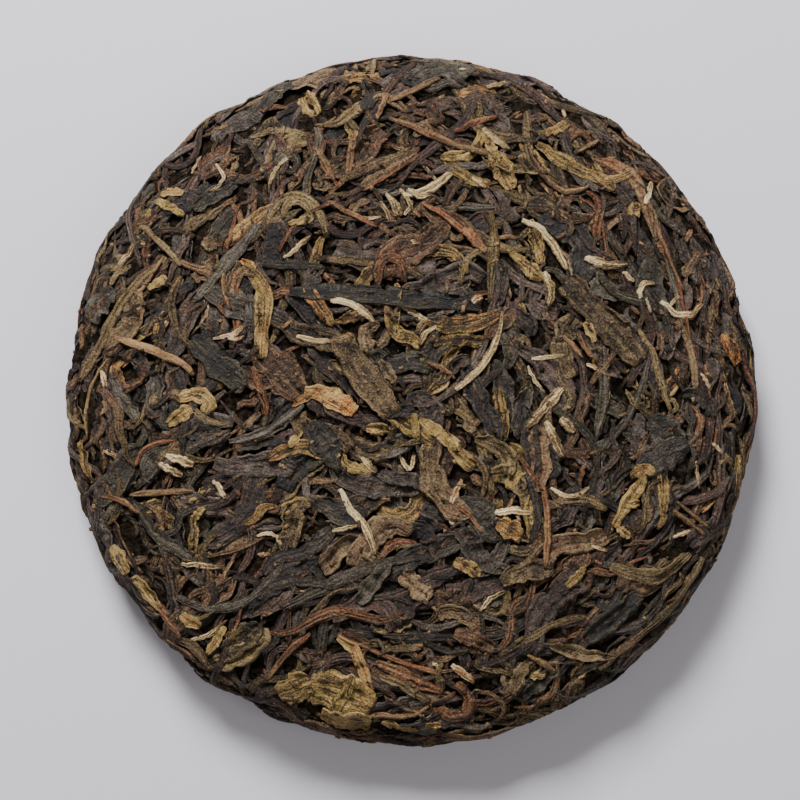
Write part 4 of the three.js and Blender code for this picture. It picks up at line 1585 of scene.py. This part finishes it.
@dataclass(frozen=True)
class LeafFinish:
    """The finish of one kind of tea. Colours are screen colours from 0 to 255.

    Attributes:
        name: The material's name.
        slot: The name of a group of kinds, which is handed to place() but not used.
        deep: The darkest tone.
        body: The main tone.
        gold: The main tone of the golden pieces and patches.
        warm: The main tone of the reddish ones.
        light: The lightest tone.
        fibre: How much the fibres show in the colour.
        mottle: How much the mottles show.
        down: How much the fine down shows.
        crest: How much lighter the crests and edges are painted: a painted highlight on the crests, with
            painted shade in the folds between.
        sheen: How glossy the skin is.
        bump: How deep the fine relief is, in millimetres.
        gloss: The strength of the plain gloss.
    """

    name: str
    slot: str
    deep: Shade
    body: Shade
    gold: Shade
    warm: Shade
    light: Shade
    fibre: float = 0.5
    mottle: float = 0.45
    down: float = 1.15
    crest: float = 0.95
    sheen: float = 0.5
    bump: float = 0.6
    gloss: float = 0.2

    def build(self, group: bpy.types.NodeTree) -> bpy.types.Material:
        """Makes the material.

        Args:
            group: The shader group of the leaf skin.

        Returns:
            The material.
        """
        material = bpy.data.materials.new(self.name)
        material.use_nodes = True
        nodes = Nodes(material.node_tree)
        skin = nodes.add("ShaderNodeGroup", {"node_tree": group})
        for part in ("deep", "body", "gold", "warm", "light"):
            skin.inputs[part.title()].default_value = (*linear(*getattr(self, part)), 1.0)
        for part in ("fibre", "mottle", "down", "crest", "sheen"):
            skin.inputs[part.title()].default_value = getattr(self, part)
        shown = (skin.outputs[part] for part in ("Colour", "Roughness", "Height"))
        nodes.surface(*shown, self.bump * MM, self.gloss)
        return material


FINISHES = {
    Tea.FINES: LeafFinish("Fine dark tea", "dark_leaf", (17, 13, 10), (38, 33, 27), (60, 48, 24),
                          (66, 38, 23), (108, 90, 66)),
    Tea.BROKEN: LeafFinish("Broken leaf", "brown_leaf", (19, 15, 11), (50, 43, 34), (80, 65, 32),
                           (84, 47, 28), (136, 114, 82)),
    Tea.DARK_ROLL: LeafFinish("Dark rolled leaf", "dark_leaf", (22, 19, 19), (39, 37, 34), (66, 55, 30),
                              (70, 42, 28), (108, 100, 90), sheen=0.85),
    Tea.BROWN_ROLL: LeafFinish("Brown rolled leaf", "brown_leaf", (21, 16, 12), (57, 48, 35), (90, 73, 35),
                               (96, 53, 29), (138, 117, 86), sheen=0.7),
    Tea.DARK_LEAF: LeafFinish("Dark flat leaf", "dark_leaf", (23, 21, 21), (40, 38, 35), (62, 53, 32),
                              (66, 42, 30), (100, 93, 85), sheen=0.85),
    Tea.BROWN_LEAF: LeafFinish("Brown flat leaf", "brown_leaf", (21, 16, 12), (58, 49, 35), (88, 71, 35),
                               (80, 50, 33), (130, 110, 80), mottle=0.28, sheen=0.7),
    Tea.OLIVE_LEAF: LeafFinish("Olive flat leaf", "olive_leaf", (32, 24, 14), (88, 72, 44), (120, 97, 48),
                               (146, 84, 40), (168, 142, 92), fibre=1.3, mottle=0.25, down=1.0),
    Tea.STEM: LeafFinish("Stem", "stem", (38, 27, 19), (82, 63, 44), (102, 80, 46), (108, 57, 35),
                         (156, 126, 88), fibre=0.8, down=0.9),
    Tea.BUD: LeafFinish("Silvery bud", "bud", (66, 50, 34), (136, 115, 82), (150, 125, 78), (150, 106, 68),
                        (224, 204, 160), fibre=1.3, down=0.9, crest=1.2),
    Tea.CRUMB: LeafFinish("Crumb", "brown_leaf", (18, 14, 10), (60, 50, 36), (84, 68, 34), (90, 50, 30),
                          (156, 132, 92)),
}


@dataclass
class Core:
    """The dark pressed body under the leaves.

    It is set in by depth from the surface, and a little wider at the rim, so that no light falls
    through there.
    """

    form: CakeForm
    depth: float = 1.0 * MM
    segments: int = 420
    rings: int = 150
    lump: float = 1.6 * MM
    relief: float = 0.6 * MM
    rim_gain: float = 0.6 * MM

    def build(self) -> bpy.types.Object:
        """Spins the set-in outline about the axis and roughens it.

        Returns:
            The core.
        """
        outline = evenly(self.form.half_outline(self.depth, 20), self.rings)
        outline[:, 0] *= 1.0 + self.rim_gain / self.form.radius
        bpy.ops.object.select_all(action="DESELECT")
        bpy.ops.mesh.primitive_circle_add(vertices=self.segments, radius=outline[1][0],
                                          location=(0, 0, outline[0][1]))
        core = bpy.context.object
        core.name = "pressed_core"
        mesh = core.data
        bpy.ops.object.transform_apply(location=True, rotation=True, scale=True)
        bpy.ops.object.mode_set(mode="EDIT")
        bpy.ops.mesh.select_all(action="SELECT")
        for (r0, z0), (r1, z1) in zip(outline[1:-2], outline[2:-1]):
            bpy.ops.mesh.extrude_edges_move(TRANSFORM_OT_translate={"value": (0, 0, z1 - z0)})
            bpy.ops.transform.resize(value=(r1 / r0, r1 / r0, 1), center_override=(0, 0, 0))
        bpy.ops.mesh.edge_face_add()
        bpy.ops.mesh.select_all(action="DESELECT")
        bpy.ops.object.mode_set(mode="OBJECT")
        for edge in mesh.edges:
            a, b = (mesh.vertices[i].co for i in edge.vertices)
            edge.select = max(a.z, b.z) > self.form.thickness - self.depth - 1e-5
        bpy.ops.object.mode_set(mode="EDIT")
        bpy.ops.mesh.edge_face_add()
        bpy.ops.mesh.select_all(action="SELECT")
        bpy.ops.mesh.normals_make_consistent(inside=False)
        bpy.ops.object.mode_set(mode="OBJECT")
        for name, share in (("lumps", 1.0), ("dust", 0.5)):
            clouds = bpy.data.textures.new("core_" + name, "CLOUDS")
            clouds.noise_scale = self.lump * share
            clouds.noise_depth = 2
            swell = core.modifiers.new(name, "DISPLACE")
            swell.texture = clouds
            swell.texture_coords = "LOCAL"
            swell.strength = self.relief * share
            bpy.ops.object.modifier_apply(modifier=name)
        bpy.ops.object.shade_smooth()
        return core


def core_material() -> bpy.types.Material:
    """The near black, broken surface that shows between the leaves, partly the tea's own dark colour and
    partly painted shade for the deep gaps.
    """
    material = bpy.data.materials.new("Pressed core")
    material.use_nodes = True
    nodes = Nodes(material.node_tree)
    place = nodes.add("ShaderNodeTexCoord").outputs["Object"]
    lumps = nodes.noise(place, 1100.0, 5.0, 0.75)
    # The near black is painted shade for the gaps as well as the pressed tea's own dark colour.
    dark, light = (*linear(6, 5, 4), 1.0), (*linear(54, 43, 31), 1.0)
    colour = nodes.mixed(nodes.ranged(lumps, 0.42, 0.72, 0.0, 1.0), dark, light)
    nodes.surface(colour, 0.95, lumps, 1.6 * MM, 0.05)
    return material


@dataclass
class Crumbs:
    """Broken scraps that lie in the gaps and on the leaves.

    Their size, and how far they are sunk into the pile, are in millimetres, least and most.
    """

    count: int = 2400
    size: Pair = (0.25, 0.95)
    sunk: Pair = (-0.1, 0.35)
    stretch: Pair = (1.0, 2.4)
    ground: float = 0.03 * MM

    def build(self, press: Press, rng: np.random.Generator) -> MeshData:
        """Builds the crumbs as squashed eight-cornered scraps.

        Args:
            press: The press that leaves them in place.
            rng: The source of their shapes.

        Returns:
            The joined mesh's arrays.
        """
        charts = press.charts
        places, normals, runs = charts.form.nearest(charts.form.spread(self.count, 0.7, rng))
        turn = rng.uniform(0, 2 * math.pi, self.count)[:, None]
        around = unit(np.stack([-places[:, 1], places[:, 0], 0 * places[:, 0]], axis=1))
        ahead = around * np.cos(turn) + np.cross(normals, around) * np.sin(turn)
        beside = np.cross(normals, ahead)
        spots, _ = charts.spots(places[:, None], normals[:, None], runs[:, None], beside[:, None])
        back = runs > charts.turn
        spots = spots[np.arange(self.count), back.astype(int), 0]
        ground = charts.read(press.pile.maps, spots, back)
        size = rng.uniform(0.0, 1.0, self.count) ** 2 * (self.size[1] - self.size[0]) + self.size[0]
        middles, deep = press.settle(spots, back, ground - rng.uniform(*self.sunk, self.count) * MM)

        signs = np.array([[x, y, z] for x in (-1, 1) for y in (-1, 1) for z in (-1, 1)], float)
        faces = np.array([[0, 1, 3, 2], [4, 6, 7, 5], [0, 4, 5, 1],
                          [2, 3, 7, 6], [0, 2, 6, 4], [1, 5, 7, 3]])
        long = size * rng.uniform(*self.stretch, self.count)
        scale = np.stack([long, size * 0.8, size * rng.uniform(0.3, 0.6, self.count)], axis=1) * MM / 2
        offsets = signs[None] * scale[:, None] * rng.uniform(0.5, 1.0, (self.count, 8, 3))
        points = middles[:, None] + ahead[:, None] * offsets[..., :1] + beside[:, None] * offsets[..., 1:2]
        points = points + normals[:, None] * offsets[..., 2:]
        points[..., 2] = np.maximum(points[..., 2], self.ground)
        corners = (np.arange(self.count)[:, None, None] * 8 + faces[None]).reshape(-1)
        sizes = np.full(self.count * 6, 4)
        uv = np.tile(np.array([[0, 0], [0.05, 0], [0.05, 0.1], [0, 0.1]], float), (self.count * 6, 1))
        tone, seed = rng.uniform(0, 1, self.count), rng.uniform(0, 1, self.count)
        # The crumbs' depth under the pile darkens them as painted crevice shade.
        marks = np.repeat(np.stack([tone, deep, 0 * tone + 0.5, seed], axis=1), 8, axis=0)
        return MeshData(points.reshape(-1, 3), corners, sizes, uv, marks)


@dataclass
class TeaCake:
    """The whole cake: the core, the leaves of each kind and the crumbs.

    A piece that shows less of itself than hidden is left out. In the middle leaves are laid
    later and rolls earlier, which fades out over the pair's two distances.
    """

    form: CakeForm
    view: PhotoView
    hidden: float = 0.08
    middle: Pair = (12 * MM, 34 * MM)
    leaf_lag: float = 0.42
    roll_lead: float = 0.25
    leaf_lead: float = 0.12

    def batch(self, tea: Tea, charts: Charts, rng: np.random.Generator) -> Batch:
        """Draws every piece of one kind, laid and strewn.

        Args:
            tea: The kind.
            charts: The maps of the surface.
            rng: The source of what the pieces draw.

        Returns:
            The kind's pieces.
        """
        cut = CUTS[tea]
        walker = Walker(self.form, self.view, Flow(self.view))
        paths, plans = [], []
        if tea in LAID:
            paths.append(walker.laid(cut, LAID[tea]))
            plans.append(Plan.of_laid(LAID[tea]))
        for number, layer in enumerate(layer for layer in LAYERS if layer.tea is tea):
            middles = self.form.spread(layer.count, 1.3 * number + len(tea.value), rng)
            size = rng.uniform(0.0, 1.0, layer.count) ** 1.5
            lengths = (cut.length[0] + size * (cut.length[1] - cut.length[0])) * MM
            paths.append(walker.strewn(cut, middles, lengths, rng))
            plan = Plan.of_strewn(cut, layer, size, rng)
            central = 1.0 - eased(np.hypot(middles[:, 0], middles[:, 1]), *self.middle)
            if cut.sheet:
                plan.turn += self.leaf_lag * central - self.leaf_lead
            else:
                plan.turn += -self.roll_lead * central
            plans.append(plan)
        path, plan = joined(paths), joined(plans)
        length = np.linalg.norm(np.diff(path.places, axis=1), axis=2).sum(axis=1)
        ahead = unit(np.gradient(path.places, axis=1))
        beside = unit(np.cross(path.normals, ahead))
        at, side = charts.spots(path.places, path.normals, path.runs, beside)
        roller = Roller(cut, len(length), rng)
        level, up, crest = roller.sections(plan, length)
        along = np.linspace(0.0, 1.0, cut.stations).reshape(1, -1, 1)
        tone = plan.tone.reshape(-1, 1, 1) + cut.fade * (0.35 - along) + 0 * up
        tone = tone + 0.16 * roller.waves(along, 0.5, 1.5)
        return Batch(cut, path.runs, at, side, level, up, crest, tone, plan.hue, length, plan.turn)

    def pressed(self, batch: Batch, press: Press) -> MeshData:
        """Presses a kind's pieces and joins those that show.

        Args:
            batch: The kind.
            press: The press.

        Returns:
            The joined mesh's arrays.
        """
        kept = batch.shown > self.hidden
        home = (batch.runs > press.charts.turn)[kept]
        piece, station = np.indices(home.shape)
        chart = home.astype(int)
        at, side = batch.at[kept][piece, chart, station], batch.side[kept][piece, chart, station]
        spots = at[:, :, None] + side[:, :, None] * batch.level[kept][..., None]
        back = np.broadcast_to(home[:, :, None], spots.shape[:3])
        points, deep = press.settle(spots, back, (batch.base + batch.up)[kept])
        seed = np.broadcast_to(batch.seed[kept][:, None, None], deep.shape)
        # The marks: tone, depth for the painted crevice shade, crest for the painted crest highlight, and
        # seed.
        marks = np.stack([batch.tone[kept], deep, batch.crest[kept], seed], axis=-1)
        return tubes(points, marks, batch.length[kept])

    def build(self) -> None:
        """Builds, dresses and places every piece of the cake."""
        group = leaf_group()
        rng = np.random.default_rng(SEED)
        core = Core(self.form).build()
        core.data.materials.append(core_material())
        self.place(core, "dark_leaf")
        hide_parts(NODE)
        charts = Charts(self.form)
        pile = Pile(charts)
        batches = {tea: self.batch(tea, charts, rng) for tea in CUTS}
        pile.heap(list(batches.values()))
        press = Press(charts, pile)
        for tea in Tea:
            data = Crumbs().build(press, rng) if tea is Tea.CRUMB else self.pressed(batches[tea], press)
            piece = data.build(tea.value)
            piece.data.materials.append(FINISHES[tea].build(group))
            self.place(piece, FINISHES[tea].slot)
            if tea in batches:
                shown = batches[tea].shown > self.hidden
                LOG.info("%s: %d of %d pieces show", tea.value, shown.sum(), len(shown))
                for laid, shows in zip(LAID.get(tea, ()), batches[tea].shown):
                    if shows < 0.5:
                        LOG.info("%s shows %.2f of itself", laid.name, shows)

    def place(self, piece: bpy.types.Object, slot: str) -> None:
        """Fixes a piece to the cake's body and reports it."""
        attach(piece, BODY)
        triangles = sum(len(face.vertices) - 2 for face in piece.data.polygons)
        LOG.info("%s: %d triangles", piece.name, triangles)


@dataclass(frozen=True)
class Lamp:
    """A soft square light that points at the cake: its place, its side, and its power in watts."""

    name: str
    place: tuple[float, float, float]
    size: float
    power: float

    def build(self) -> None:
        """Adds the light."""
        bpy.ops.object.light_add(type="AREA", location=self.place)
        lamp = bpy.context.object
        lamp.name = self.name
        lamp.data.size = self.size
        lamp.data.energy = self.power
        x, y, z = self.place
        lamp.rotation_euler = (math.atan2(math.hypot(x, y), z), 0.0, math.atan2(x, -y))


@dataclass
class Studio:
    """The pale floor and the soft lights."""

    floor_side: float = 16.0
    floor_shade: Shade = (172, 169, 175)
    lamps: tuple[Lamp, ...] = (Lamp("key_light", (-0.14, 0.46, 0.42), 0.2, 14.0),
                               Lamp("fill_light", (0.35, -0.2, 0.65), 0.5, 2.3))
    room_colour: Colour = (1.0, 0.98, 0.96)
    room_power: float = 0.3

    def build(self) -> None:
        """Makes the floor, the lights and the surrounding light."""
        bpy.ops.mesh.primitive_plane_add(size=self.floor_side, location=(0, 0, 0))
        floor = bpy.context.object
        floor.name = "pale_floor"
        material = bpy.data.materials.new("Pale floor")
        material.use_nodes = True
        nodes = Nodes(material.node_tree)
        colour = (*linear(*self.floor_shade), 1.0)
        shader = nodes.add("ShaderNodeBsdfPrincipled", Base_Color=colour, Roughness=0.9)
        nodes.add("ShaderNodeOutputMaterial", Surface=shader.outputs[0])
        floor.data.materials.append(material)
        for lamp in self.lamps:
            lamp.build()
        world = bpy.context.scene.world or bpy.data.worlds.new("Soft room")
        bpy.context.scene.world = world
        world.use_nodes = True
        background = world.node_tree.nodes["Background"]
        background.inputs[0].default_value = (*self.room_colour, 1.0)
        background.inputs[1].default_value = self.room_power


def main() -> None:
    """Builds the camera, the stage and the cake."""
    logging.basicConfig(level=logging.INFO, format="%(name)s: %(message)s")
    low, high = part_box(NODE)
    radius = (high.x - low.x + high.y - low.y) / 4 - RELIEF
    form = CakeForm(radius=radius, thickness=high.z - RELIEF)
    view = PhotoView(form)
    view.build()
    Studio().build()
    TeaCake(form, view).build()


if __name__ == "__main__":
    main()
